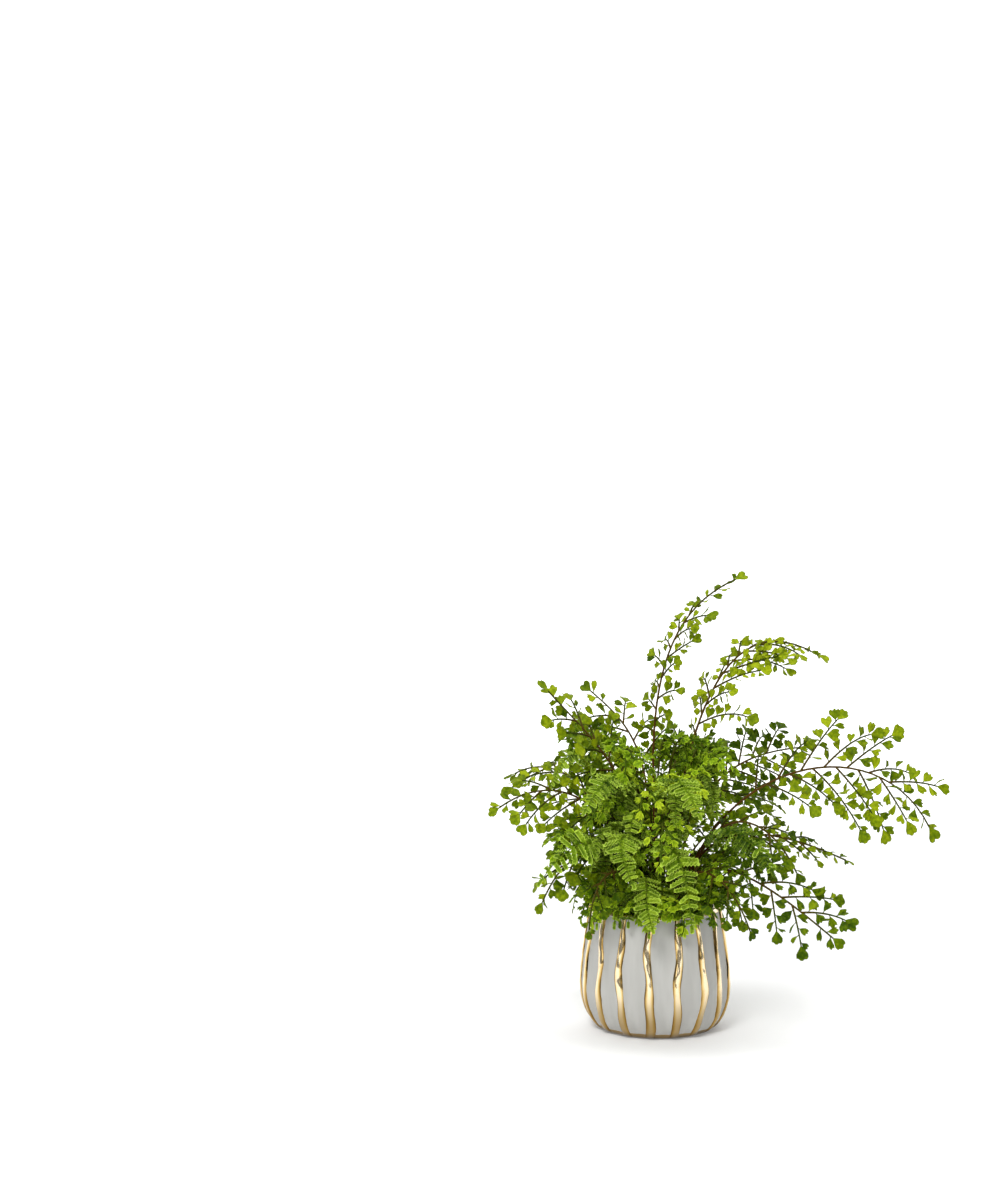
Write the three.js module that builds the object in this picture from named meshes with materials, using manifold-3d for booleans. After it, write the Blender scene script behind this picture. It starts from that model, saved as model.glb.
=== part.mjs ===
// Potted fern, in millimetres, +Z up, origin at the middle of the pot's flat foot.
// The pot stands on Z = 0. The plant's best side looks towards -Y, and its longest spray reaches along +X.
//
// A ribbed ceramic pot holds potting soil, a collar of moss, and fronds of two kinds in plain holes:
//   maiden_NN  a maidenhair spray: a wiry stem with side branches, each branch a thin arched blade that is
//              cut to its rib, so that fan-shaped leaflets stand out of it on both sides
//   sword_NN   a small sword-fern frond: a wiry stem that runs into one thin arched blade, cut to its rib
import * as THREE from "three";
import { mergeVertices } from "three/addons/utils/BufferGeometryUtils.js";
import Module from "manifold-3d";

const wasm = await Module();
wasm.setup();
const { degToRad, lerp } = THREE.MathUtils;

// ---- Driving dimensions ----

const GAP = 0.3; // between pieces that touch
const POT = {
  height: 101,
  footRadius: 42.5,
  bellyRadius: 62.5, // over the ribs, at bellyHeight
  bellyHeight: 38,
  mouthRadius: 54.5, // over the ribs, at the top
  shoulder: 1.35, // the taper from belly to mouth steepens with this power of the height
  lipRound: 2.6,
  wall: 5.2, // from a panel's face to the inside
  floor: 8,
  ribs: 17,
  ribRelief: 2, // how far a rib stands out of the panels
  ribHalfWidth: 3.4,
  ribWander: 1.3, // how far a rib's line strays to either side
  panelSink: 0.7, // how far a panel's middle lies under its edges
  firstRib: degToRad(-99.5),
  unevenness: degToRad(1.2), // of the angles between the ribs
};
const FILL_SIDES = 20; // sides of the pot's hollow and of what fills it
const SOIL_TOP = 91;
const MOSS = { innerRadius: 31, edge: 96, crown: 3, lump: 0.9 }; // a collar round the plant's crown
const STEM_FOOT = 62; // the height of each stem's foot, down in the soil
const HOLE_SLACK = 0.6; // how much wider a stem's hole is than the stem
const BLADE = 0.7; // thickness of a frond's blades

// Every frond follows the cubic that passes its four points at equal steps: foot, low, high and tip.
// side turns the frond about the line from its low point to its tip: at 0 its branches lie level.
// bare is the share of the stem below the first branch, and reach the length of the longest branches.
const MAIDEN_FRONDS = [
  { side: 26, bare: 0.5, branches: 6, reach: 30,
    points: [[2, 4], [-1, 10, 182], [8, 18, 295], [68, 25, 368]] },
  { side: 25, bare: 0.5, branches: 6, reach: 46,
    points: [[8, 2], [19, 8, 178], [43, 14, 270], [134, 6, 306]] },
  { side: 66, bare: 0.42, branches: 7, reach: 54,
    points: [[14, -3], [60, -5, 178], [148, -15, 216], [220, -25, 168]] },
  { side: 60, bare: 0.46, branches: 5, reach: 42,
    points: [[11, 8], [32, 35, 160], [74, 65, 207], [138, 98, 220]] },
  { side: 15, bare: 0.44, branches: 5, reach: 30,
    points: [[15, 3], [41, 8, 143], [97, 10, 156], [157, 0, 137]] },
  { side: 58, bare: 0.42, branches: 5, reach: 45,
    points: [[15, -8], [36, -28, 134], [88, -55, 122], [134, -75, 88]] },
  { side: 30, bare: 0.46, branches: 3, reach: 32,
    points: [[5, -18], [16, -37, 123], [40, -74, 137], [66, -95, 98]] },
  { side: -40, bare: 0.46, branches: 4, reach: 42,
    points: [[-4, 8], [-4, 22, 178], [-18, 42, 236], [-51, 60, 272]] },
  { side: -50, bare: 0.46, branches: 5, reach: 43,
    points: [[-8, 3], [-16, 0, 169], [-48, -6, 232], [-89, -12, 278]] },
  { side: -45, bare: 0.44, branches: 5, reach: 42,
    points: [[-14, -2], [-26, -5, 145], [-69, -15, 193], [-129, -25, 184]] },
  { side: -30, bare: 0.44, branches: 5, reach: 42,
    points: [[-12, 8], [-28, 35, 145], [-66, 70, 196], [-115, 105, 196]] },
  { side: -35, bare: 0.44, branches: 3, reach: 34,
    points: [[-16, -7], [-31, -15, 126], [-62, -28, 145], [-94, -40, 110]] },
  { side: 0, bare: 0.44, branches: 5, reach: 42,
    points: [[0, 14], [4, 45, 154], [1, 95, 181], [-2, 142, 147]] },
  { side: 10, bare: 0.44, branches: 5, reach: 42,
    points: [[8, 14], [28, 40, 146], [68, 90, 178], [115, 130, 154]] },
  { side: -10, bare: 0.44, branches: 5, reach: 42,
    points: [[-8, 14], [-18, 42, 146], [-41, 92, 169], [-75, 130, 128]] },
  { side: -25, bare: 0.46, branches: 3, reach: 20,
    points: [[-9, -15], [-21, -33, 124], [-44, -58, 134], [-58, -74, 94]] },
  { side: 40, bare: 0.46, branches: 3, reach: 36,
    points: [[19, -1], [38, -14, 150], [74, -28, 172], [110, -42, 134]] },
];
const SWORD_FRONDS = [
  { side: -20, bare: 0.42, reach: 15,
    points: [[-5, -8], [-14, -30, 141], [-32, -76, 168], [-26, -114, 137]] },
  { side: -30, bare: 0.44, reach: 16,
    points: [[-16, -13], [-28, -29, 128], [-56, -54, 160], [-96, -70, 132]] },
  { side: 0, bare: 0.4, reach: 16,
    points: [[3, -10], [0, -38, 138], [9, -80, 157], [20, -104, 102]] },
  { side: 0, bare: 0.48, reach: 12,
    points: [[-4, -19], [-9, -40, 126], [-13, -74, 124], [-8, -90, 90]] },
  { side: -20, bare: 0.42, reach: 16,
    points: [[-8, -3], [-14, -22, 168], [-34, -62, 212], [-63, -105, 192]] },
  { side: 0, bare: 0.42, reach: 16,
    points: [[2, -4], [2, -30, 169], [8, -75, 212], [24, -120, 191]] },
  { side: 15, bare: 0.42, reach: 15,
    points: [[9, -12], [26, -40, 150], [54, -74, 172], [82, -102, 145]] },
  { side: 0, bare: 0.42, reach: 16,
    points: [[5, 9], [14, 35, 168], [38, 78, 214], [66, 120, 200]] },
];
const STEM = { foot: 1.5, tip: 0.95 }; // radius over the corners of its three-sided section
const ROOT_HALF_WIDTH = 0.3; // of a blade where it is sunk in the stem
const MAIDEN = {
  stemEnd: 0.86, // the share of the stem's path where its last blade begins
  stemSteps: 8,
  splay: degToRad(54), // between the stem and its lowest branches
  splayLoss: 0.3, // the share of it that is lost towards the tip
  splaySpread: [0.85, 1.15],
  sag: 0.2, // of a branch, as a share of its length
  rib: 0.6, // half-width of a branch
  leafletPitch: 12,
  leafletSplay: degToRad(62),
  leafletLength: 10,
  leafletHalfWidth: 5.2,
  leafletSpread: [0.85, 1.15], // of the leaflets' sizes
  endLeafletSize: 1.1,
  lobes: [0.88, 0.74, 1], // how far out a leaflet's near lobe, notch and far lobe reach
  tiltSpread: [-0.25, 0.25], // rise of a leaflet along itself
  twistSpread: [-0.35, 0.35], // and across itself
  bends: [0, 0.3, -0.3, 0.6, -0.6, 0.9, -0.9], // turns of a branch about the stem, tried one by one
};
const SWORD = {
  stemSteps: 5,
  rib: 0.9,
  pairs: 11,
  leafletHalfWidth: 2.5,
  lengthSpread: [0.94, 1.06],
  lean: 0.28, // how far a leaflet's end leans towards the tip, as a share of its length
  sagSpread: [0.15, 0.29], // how far it sinks, as a share of its length
};

const FINISH = {
  ceramic: { color: 0xc9c8c4, roughness: 0.75, metalness: 0 },
  soil: { color: 0x2b1d14, roughness: 1, metalness: 0 },
  moss: { color: 0x5e6a1c, roughness: 1, metalness: 0 },
  maiden: { color: 0x73872a, roughness: 0.55, metalness: 0 },
  sword: { color: 0x5c8a2e, roughness: 0.6, metalness: 0 },
};

// ---- Solids ----

// A closed geometry as a solid that can be cut and joined.
function solidOf(geometry) {
  geometry.deleteAttribute("normal");
  geometry.deleteAttribute("uv");
  const merged = mergeVertices(geometry, 1e-4);
  return new wasm.Manifold(
    new wasm.Mesh({
      numProp: 3,
      vertProperties: new Float32Array(merged.attributes.position.array),
      triVerts: new Uint32Array(merged.index.array),
    }),
  );
}

// Corners and the triangles between them as a solid.
function solidBetween(corners, triangles) {
  return solidOf(new THREE.BufferGeometry().setFromPoints(corners).setIndex(triangles.flat()));
}

const drawn = (draw, [low, high]) => lerp(low, high, draw());
const joined = (solids) => solids.reduce((all, next) => all.add(next));
const crosses = (solid, others) => others.some((other) => !solid.intersect(other).isEmpty());

// A named mesh of one solid.
function meshOf(name, solid, finish) {
  const { vertProperties, triVerts } = solid.getMesh();
  const geometry = new THREE.BufferGeometry();
  geometry.setAttribute("position", new THREE.BufferAttribute(vertProperties, 3));
  geometry.setIndex(new THREE.BufferAttribute(triVerts, 1));
  const faceted = geometry.toNonIndexed();
  faceted.computeVertexNormals();
  const mesh = new THREE.Mesh(faceted, new THREE.MeshStandardMaterial(FINISH[finish]));
  mesh.name = name;
  return mesh;
}

// Numbers from 0 to 1 that are the same at every run.
function seededDraws(seed) {
  let state = seed;
  return () => {
    state = (Math.imul(state, 1664525) + 1013904223) >>> 0;
    return state / 2 ** 32;
  };
}

// The triangles of the wall through rings of corners, each ring the same number.
function wallThrough(rings) {
  const sides = rings[0].length;
  const triangles = [];
  for (let row = 0; row < rings.length - 1; row++) {
    for (let i = 0; i < sides; i++) {
      const [low, lowNext] = [row * sides + i, row * sides + ((i + 1) % sides)];
      const [high, highNext] = [low + sides, lowNext + sides];
      triangles.push([low, lowNext, highNext], [low, highNext, high]);
    }
  }
  return triangles;
}

// ---- Pot and what fills it ----

// Radius over the ribs at a height: a quarter ellipse up to the belly, then a slow taper to the mouth.
function ribRadius(z) {
  const { footRadius, bellyRadius, bellyHeight, mouthRadius, height } = POT;
  if (z < bellyHeight) {
    const below = (bellyHeight - z) / bellyHeight;
    return footRadius + (bellyRadius - footRadius) * Math.sqrt(1 - below ** 2);
  }
  const above = (z - bellyHeight) / (height - bellyHeight);
  return bellyRadius - (bellyRadius - mouthRadius) * above ** POT.shoulder;
}

// Where a rib's wandering line runs at a height, as an angle about the pot.
function ribAngle(rib, z) {
  const turn = (2 * Math.PI * rib) / POT.ribs;
  const unevenness = POT.unevenness * (Math.sin(2 * turn) + Math.sin(3 * turn));
  const wander = Math.sin(z / 15 + 2.4 * rib) + 0.5 * Math.sin(z / 6.5 + 4.1 * rib);
  return POT.firstRib + turn + unevenness + (POT.ribWander * wander) / ribRadius(z);
}

// One row of the pot's outside: each rib has a crest and a foot on either side, then a panel's middle.
function potRow(z, radius, relief) {
  const row = [];
  const add = (angle, r) => row.push(new THREE.Vector3(r * Math.cos(angle), r * Math.sin(angle), z));
  const half = POT.ribHalfWidth / radius;
  for (let rib = 0; rib < POT.ribs; rib++) {
    const angle = ribAngle(rib, z);
    const wrap = rib + 1 === POT.ribs ? 2 * Math.PI : 0;
    const next = ribAngle((rib + 1) % POT.ribs, z) + wrap;
    add(angle, radius);
    add(angle + half, radius - relief);
    add((angle + next) / 2, radius - relief - (POT.panelSink * relief) / POT.ribRelief);
    add(next - half, radius - relief);
  }
  return row;
}

const hollowRadius = (z) => ribRadius(z) - POT.ribRelief - POT.wall;

// The pot's hollow between two heights, or what fills it with a gap to spare.
function hollowShape(low, high, gap) {
  const heights = [low, 16, 38, 66, SOIL_TOP, high].filter((z, i, all) => z > (all[i - 1] ?? 0));
  const roundedFoot = 12; // no narrower than the hollow is at this height
  const wall = heights.map((z) => new THREE.Vector2(hollowRadius(Math.max(z, roundedFoot)) - gap, z));
  const profile = [new THREE.Vector2(0, low), ...wall, new THREE.Vector2(0, high)];
  return solidOf(new THREE.LatheGeometry(profile, FILL_SIDES).rotateX(Math.PI / 2));
}

// A turned body with ribs down its outside, and a hollow that is open at the top.
function potSolid() {
  const { height, lipRound, ribRelief } = POT;
  const fadeIn = (z) => Math.min(1, 0.2 + z / 6);
  const heights = [0, 2.5, 8, 18, 38, 56, 72, 86, height - lipRound];
  const rows = heights.map((z) => potRow(z, ribRadius(z), ribRelief * fadeIn(z)));
  rows.push(potRow(height, ribRadius(height) - lipRound, ribRelief / 4));
  const sides = rows[0].length;
  const top = (rows.length - 1) * sides;
  const [footMiddle, topMiddle] = [top + sides, top + sides + 1];
  const triangles = wallThrough(rows);
  for (let i = 0; i < sides; i++) {
    const next = (i + 1) % sides;
    triangles.push([footMiddle, next, i], [topMiddle, top + i, top + next]);
  }
  const middles = [new THREE.Vector3(0, 0, 0), new THREE.Vector3(0, 0, height)];
  const outside = solidBetween([...rows.flat(), ...middles], triangles);
  return outside.subtract(hollowShape(POT.floor, height + 1, 0));
}

// A collar of moss between the plant's crown and the pot, with a lumpy top.
function mossSolid() {
  const outerRadius = hollowRadius(MOSS.edge) - 1.5 * GAP;
  const lumpyTop = (share, angle) => {
    const lumps = MOSS.lump * (Math.sin(3 * angle + 9 * share) + Math.cos(7 * angle - 5 * share));
    return MOSS.edge + MOSS.crown * Math.sin(Math.PI * share) + lumps * Math.sin(Math.PI * share);
  };
  const ring = (share, height) =>
    Array.from({ length: FILL_SIDES }, (_, i) => {
      const angle = (2 * Math.PI * i) / FILL_SIDES;
      const r = lerp(MOSS.innerRadius, outerRadius, share);
      return new THREE.Vector3(r * Math.cos(angle), r * Math.sin(angle), height(share, angle));
    });
  const under = () => SOIL_TOP + GAP;
  const rings = [ring(0, under), ring(1, under)];
  for (const share of [1, 0.75, 0.5, 0.25, 0]) rings.push(ring(share, lumpyTop));
  rings.push(rings[0]);
  return solidBetween(rings.flat(), wallThrough(rings));
}

// ---- What both kinds of frond share ----

// The cubic that passes a frond's four points at equal steps.
function frondPath({ points }) {
  const [foot, low, high, tip] = points.map(([x, y, z = STEM_FOOT]) => new THREE.Vector3(x, y, z));
  const mix = (...weights) =>
    [foot, low, high, tip].reduce(
      (sum, point, i) => sum.addScaledVector(point, weights[i]),
      new THREE.Vector3(),
    );
  return new THREE.CubicBezierCurve3(
    foot,
    mix(-5 / 6, 3, -3 / 2, 1 / 3),
    mix(1 / 3, -3 / 2, 3, -5 / 6),
    tip,
  );
}

// The way to a frond's left: level, then turned about the line from its low point to its tip.
function leftOf({ points, side }) {
  const [, low, , tip] = points.map((point) => new THREE.Vector3(...point));
  const line = tip.sub(low).normalize();
  const level = new THREE.Vector3(0, 0, 1).cross(line).normalize();
  return level.applyAxisAngle(line, degToRad(side));
}

// The axes at a share of a curve: ahead, to the left, and up out of the upper face.
function axesAt(curve, share, left) {
  const ahead = curve.getTangent(share);
  const across = left.clone().addScaledVector(ahead, -left.dot(ahead)).normalize();
  return { at: curve.getPoint(share), ahead, across, up: ahead.clone().cross(across) };
}

// A frond's stem, or a hole for it: three-sided, with a section at each of some shares of the path.
// The sections are turned as the branches are, so that a branch leaves through the middle of a face.
function wire(frond, shares, radiusAt) {
  const level = leftOf({ ...frond, side: 0 });
  const rings = shares.map((share) => {
    const { at, across, up } = axesAt(frondPath(frond), share, level);
    return [90, 210, 330].map((degrees) => {
      const angle = degToRad(degrees + frond.side);
      return at
        .clone()
        .addScaledVector(across, radiusAt(share) * Math.cos(angle))
        .addScaledVector(up, radiusAt(share) * Math.sin(angle));
    });
  });
  const last = 3 * (shares.length - 1);
  const ends = [
    [0, 2, 1],
    [last, last + 1, last + 2],
  ];
  return solidBetween(rings.flat(), [...wallThrough(rings), ...ends]);
}

// The axes where a branch leaves a wire, with their origin on the straight stretch between two sections.
function axesOnWire(curve, left, shares, share) {
  const next = shares.findIndex((section) => section >= share);
  const [from, to] = [shares[next - 1], shares[next]];
  const at = curve.getPoint(from).lerp(curve.getPoint(to), (share - from) / (to - from));
  return { ...axesAt(curve, share, left), at };
}

// The shares of a frond's path where its stem has a section.
const stemShares = ({ stemEnd, stemSteps }) =>
  Array.from({ length: stemSteps + 1 }, (_, i) => (stemEnd * i) / stemSteps);

// The stem of a frond. Its foot stands clear of the bottom of its hole.
function stemOf(frond, shares) {
  const foot = (2 * GAP) / frondPath(frond).getLength();
  return wire(frond, [foot, ...shares.slice(1)], (share) => lerp(STEM.foot, STEM.tip, share));
}

// The hole in the soil of a frond's stem, as long as the stem's first two steps.
function holeOf(frond, shares) {
  return wire(frond, shares.slice(0, 3), () => STEM.foot + HOLE_SLACK);
}

// A thin solid around a sheet of triangles, whose corners each have a normal.
function thickened(corners, normals, triangles, thickness) {
  const shifted = (by) => corners.map((corner, i) => corner.clone().addScaledVector(normals[i], by));
  const n = corners.length;
  const edges = new Set(triangles.flatMap(([a, b, c]) => [`${a},${b}`, `${b},${c}`, `${c},${a}`]));
  const margin = [...edges].map((edge) => edge.split(",")).filter(([a, b]) => !edges.has(`${b},${a}`));
  const under = triangles.map(([a, b, c]) => [c + n, b + n, a + n]);
  const walls = margin.flatMap(([from, to]) => {
    const [a, b] = [Number(from), Number(to)];
    return [
      [a, a + n, b + n],
      [a, b + n, b],
    ];
  });
  const faces = [...shifted(thickness / 2), ...shifted(-thickness / 2)];
  return solidBetween(faces, [...triangles, ...under, ...walls]);
}

// A thin arched blade that is cut to its rib. Side 1 is the left and side -1 the right of the rib.
// Leaflets are added from the rib's foot to its end, and an outline is a list of [ahead, out, up].
class CutBlade {
  constructor(axes, ribHalfWidth) {
    this.axes = axes; // gives the axes at a share of the rib
    this.ribHalfWidth = ribHalfWidth;
    this.corners = [];
    this.normals = [];
    this.triangles = [];
    this.edges = { 1: [], [-1]: [] }; // the corners along each edge of the rib
    this.ribCorner(0, 1, ROOT_HALF_WIDTH);
    this.ribCorner(0, -1, ROOT_HALF_WIDTH);
  }

  corner(share, side, [ahead, out, lift]) {
    const axes = this.axes(share);
    const point = axes.at
      .clone()
      .addScaledVector(axes.ahead, ahead)
      .addScaledVector(axes.across, side * out)
      .addScaledVector(axes.up, lift);
    this.corners.push(point);
    this.normals.push(axes.up);
    return this.corners.length - 1;
  }

  ribCorner(share, side, halfWidth = this.ribHalfWidth) {
    const index = this.corner(share, side, [0, halfWidth, 0]);
    this.edges[side].push({ share, index });
    return index;
  }

  // Fills a leaflet between two corners of the rib from the middle corner of its outline.
  fill(side, near, outline, far) {
    const loop = [near, ...outline, far];
    const hub = 1 + Math.floor(outline.length / 2);
    const add = (a, b) => this.triangles.push(side > 0 ? [loop[hub], b, a] : [loop[hub], a, b]);
    for (let i = 0; i < loop.length - 1; i++) {
      if (i !== hub && i + 1 !== hub) add(loop[i], loop[i + 1]);
    }
    add(far, near);
  }

  leaflet(share, side, halfRoot, outline) {
    const near = this.ribCorner(share - halfRoot, side);
    const far = this.ribCorner(share + halfRoot, side);
    const margin = outline.map(([ahead, out, up]) =>
      this.corner(share, side, [ahead, out + this.ribHalfWidth, up]),
    );
    this.fill(side, near, margin, far);
  }

  endLeaflet(outline) {
    const left = this.ribCorner(1, 1);
    const right = this.ribCorner(1, -1);
    const margin = outline.map((corner) => this.corner(1, 1, corner));
    this.fill(-1, right, margin, left);
  }

  // Fills the rib between its two edges.
  fillRib() {
    const { 1: left, [-1]: right } = this.edges;
    const shareOf = (edge, i) => (i < edge.length ? edge[i].share : Infinity);
    let [i, j] = [0, 0];
    while (i < left.length - 1 || j < right.length - 1) {
      const leftFirst = shareOf(left, i + 1) <= shareOf(right, j + 1);
      const next = leftFirst ? left[i + 1] : right[j + 1];
      this.triangles.push([left[i].index, right[j].index, next.index]);
      if (leftFirst) i++;
      else j++;
    }
    return this;
  }

  solid(thickness = BLADE) {
    return thickened(this.corners, this.normals, this.triangles, thickness);
  }
}

// ---- Maidenhair sprays ----

// A fan-shaped leaflet with a notch in its margin, turned by an angle from the way ahead.
function fanOutline(length, half, angle, tilt, twist) {
  const place = (along, sideward) => [
    along * Math.cos(angle) + sideward * Math.sin(angle),
    along * Math.sin(angle) - sideward * Math.cos(angle),
    along * tilt + sideward * twist,
  ];
  const [near, notch, far] = MAIDEN.lobes.map((share) => share * length);
  return [place(near, -half), place(notch, 0), place(far, 0.85 * half)];
}

// A branch, or the stem's end: leaflets on one side and the other in turn, and one at the end.
function maidenBlade(axes, length, firstSide, draw) {
  const { leafletLength, leafletHalfWidth, rib } = MAIDEN;
  const blade = new CutBlade(axes, rib);
  const leafletOutline = (size, splay, tilt, twist) =>
    fanOutline(size * leafletLength, size * leafletHalfWidth, splay, tilt, twist);
  const count = Math.max(2, Math.round(length / MAIDEN.leafletPitch));
  for (let i = 0; i < count; i++) {
    const size = drawn(draw, MAIDEN.leafletSpread);
    const [tilt, twist] = [drawn(draw, MAIDEN.tiltSpread), drawn(draw, MAIDEN.twistSpread)];
    const outline = leafletOutline(size, MAIDEN.leafletSplay, tilt, twist);
    blade.leaflet((i + 0.9) / (count + 0.45), i % 2 ? -firstSide : firstSide, rib / length, outline);
  }
  const end = leafletOutline(MAIDEN.endLeafletSize, 0, 0, 0);
  blade.endLeaflet(end.map(([ahead, out, up]) => [ahead, -out, up]));
  return blade.fillRib();
}

// An arched branch that leaves the stem to a side, with the whole turned about the stem by a bend.
function maidenBranch(stem, side, splay, length, bend, seed) {
  const heading = stem.ahead
    .clone()
    .multiplyScalar(Math.cos(splay))
    .addScaledVector(stem.across, side * Math.sin(splay))
    .applyAxisAngle(stem.ahead, bend);
  const left = stem.up.clone().applyAxisAngle(stem.ahead, bend).cross(heading).normalize();
  const along = (share) => stem.at.clone().addScaledVector(heading, share * length);
  const sunken = along(0.95).add(new THREE.Vector3(0, 0, -MAIDEN.sag * length));
  const rib = new THREE.QuadraticBezierCurve3(stem.at, along(0.55), sunken);
  return maidenBlade((share) => axesAt(rib, share, left), length, side, seededDraws(seed));
}

// The length of a branch as a share of the spray's reach: longest a little below the middle.
const branchLength = (share) => 0.6 + 0.4 * Math.sin(Math.PI * (0.2 + 0.7 * share));

// The blades of one spray. A branch that would cross another frond is bent clear of it, or left out.
function maidenBlades(frond, seed, others) {
  const { stemEnd, bends } = MAIDEN;
  const path = frondPath(frond);
  const left = leftOf(frond);
  const draw = seededDraws(seed);
  const endAxes = (share) => axesAt(path, lerp(stemEnd - 0.01, 1, share), left);
  const endLength = (1 - stemEnd) * path.getLength();
  const blades = [maidenBlade(endAxes, endLength, 1, draw)];
  const isClear = (blade) => !crosses(blade.solid(BLADE + 2 * GAP), others);
  for (let i = 0; i < frond.branches; i++) {
    const share = i / frond.branches;
    const stem = axesOnWire(path, left, stemShares(MAIDEN), lerp(frond.bare, stemEnd, share));
    const splay = MAIDEN.splay * (1 - MAIDEN.splayLoss * share) * drawn(draw, MAIDEN.splaySpread);
    const length = frond.reach * branchLength(share);
    const branch = (bend) => maidenBranch(stem, i % 2 ? -1 : 1, splay, length, bend, seed + 7 * i);
    const clear = bends.map(branch).find(isClear);
    if (clear) blades.push(clear);
  }
  return blades.map((blade) => blade.solid());
}

// ---- Sword-fern fronds ----

// The blade of one frond. Its leaflets lengthen over its first fifth and shorten over its last half.
function swordBlades(frond, seed) {
  const path = frondPath(frond);
  const left = leftOf(frond);
  const draw = seededDraws(seed);
  const length = path.getLength() * (1 - frond.bare);
  const blade = new CutBlade((share) => axesAt(path, lerp(frond.bare, 1, share), left), SWORD.rib);
  for (let i = 0; i < SWORD.pairs; i++) {
    const share = (i + 1) / (SWORD.pairs + 0.8);
    const widening = Math.min(1, 0.55 + 2.2 * share);
    const narrowing = Math.min(1, 1.75 * (1.12 - share)) ** 0.8;
    const half = SWORD.leafletHalfWidth * (0.6 + 0.4 * narrowing);
    for (const side of [1, -1]) {
      const out = frond.reach * widening * narrowing * drawn(draw, SWORD.lengthSpread);
      const sink = -out * drawn(draw, SWORD.sagSpread);
      const lean = out * SWORD.lean;
      blade.leaflet(share, side, (0.85 * half) / length, [
        [lean - 0.8 * half, 0.82 * out, 0.82 * sink],
        [lean + 0.7 * half, out, sink],
      ]);
    }
  }
  blade.endLeaflet([
    [5, -1.6, 0],
    [8, 0, 0],
    [5, 1.6, 0],
  ]);
  return [blade.fillRib().solid()];
}

// ---- The whole ----

// A frond with its stem and its hole in the soil. Its blades are added once all stems stand.
function frondItem(kind, sizes, frond, i) {
  const shares = stemShares({ stemEnd: frond.bare + 0.02, ...sizes });
  const name = `${kind}_${String(i + 1).padStart(2, "0")}`;
  return { name, kind, frond, stem: stemOf(frond, shares), hole: holeOf(frond, shares), blades: [] };
}

const sprays = MAIDEN_FRONDS.map((frond, i) => frondItem("maiden", MAIDEN, frond, i));
const swords = SWORD_FRONDS.map((frond, i) => frondItem("sword", SWORD, frond, i));
const fronds = [...sprays, ...swords];

// The sword-fern fronds keep their form, and the sprays' branches are then bent clear of all that stands.
swords.forEach((item, i) => {
  item.blades = swordBlades(item.frond, 200 + i);
});
sprays.forEach((item, i) => {
  const others = fronds.filter((other) => other !== item).flatMap(({ stem, blades }) => [stem, ...blades]);
  item.blades = maidenBlades(item.frond, 100 + 31 * i, others);
});

const soil = hollowShape(POT.floor + GAP, SOIL_TOP, GAP);
const plant = new THREE.Group();
plant.add(meshOf("pot", potSolid(), "ceramic"));
plant.add(meshOf("soil", soil.subtract(joined(fronds.map(({ hole }) => hole))), "soil"));
plant.add(meshOf("moss", mossSolid(), "moss"));
for (const { name, kind, stem, blades } of fronds) {
  plant.add(meshOf(name, joined([stem, ...blades]), kind));
}

export default plant;
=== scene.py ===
"""Potted fern: the looks of a maidenhair fern in a ribbed ceramic pot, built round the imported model.

Everything is in metres with +Z up. The pot's flat foot stands on Z = 0 round the origin, the plant's best
side looks towards -Y, and its longest spray reaches along +X. The pot is turned from one profile and its
ribs are raised on it. A long frond's wires and leaflets are set down along the stem of the solid that it
stands for, or close to it. Short young fronds, which have no solids, fill the middle of the plant.
"""

import logging
import math
import random
from collections.abc import Callable, Sequence
from dataclasses import dataclass, field
from enum import Enum
from typing import ClassVar

import bpy
import numpy as np
from mathutils import Matrix, Quaternion, Vector


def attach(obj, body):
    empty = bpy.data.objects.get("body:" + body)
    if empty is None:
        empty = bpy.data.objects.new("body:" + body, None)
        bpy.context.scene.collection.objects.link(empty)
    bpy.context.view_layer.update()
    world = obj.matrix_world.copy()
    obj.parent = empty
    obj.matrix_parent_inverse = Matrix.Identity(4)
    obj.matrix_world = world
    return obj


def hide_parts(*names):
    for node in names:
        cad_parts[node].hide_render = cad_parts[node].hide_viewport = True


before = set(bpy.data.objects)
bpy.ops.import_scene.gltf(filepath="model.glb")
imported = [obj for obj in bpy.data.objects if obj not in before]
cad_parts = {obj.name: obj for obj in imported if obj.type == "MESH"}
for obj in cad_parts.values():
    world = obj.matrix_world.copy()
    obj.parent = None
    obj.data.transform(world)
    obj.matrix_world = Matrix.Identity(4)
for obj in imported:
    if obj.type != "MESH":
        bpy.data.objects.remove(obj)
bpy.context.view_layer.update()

LOG = logging.getLogger("potted_fern")
MM = 0.001
GRAIN = "grain"  # the attribute in which a piece tells its material what lies where

Triple = tuple[float, float, float]


class Slot(Enum):
    """The record's material slots, one of which seat is given with each piece."""

    POT = "pot_ceramic"
    MOSS = "moss"
    MAIDEN = "maidenhair_leaf"
    SWORD = "sword_fern_leaf"


def blend(low: float, high: float, share: float) -> float:
    """The number that lies at a share of the way from low to high."""
    return low + (high - low) * share


def held(value: float) -> float:
    """The number itself, or 0 or 1 where it lies past them."""
    return min(1, max(0, value))


def quarter(steps: int) -> list[float]:
    """Even steps over a quarter turn, in radians."""
    return [0.5 * math.pi * step / steps for step in range(steps + 1)]


# ---- Shader maths ----


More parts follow.
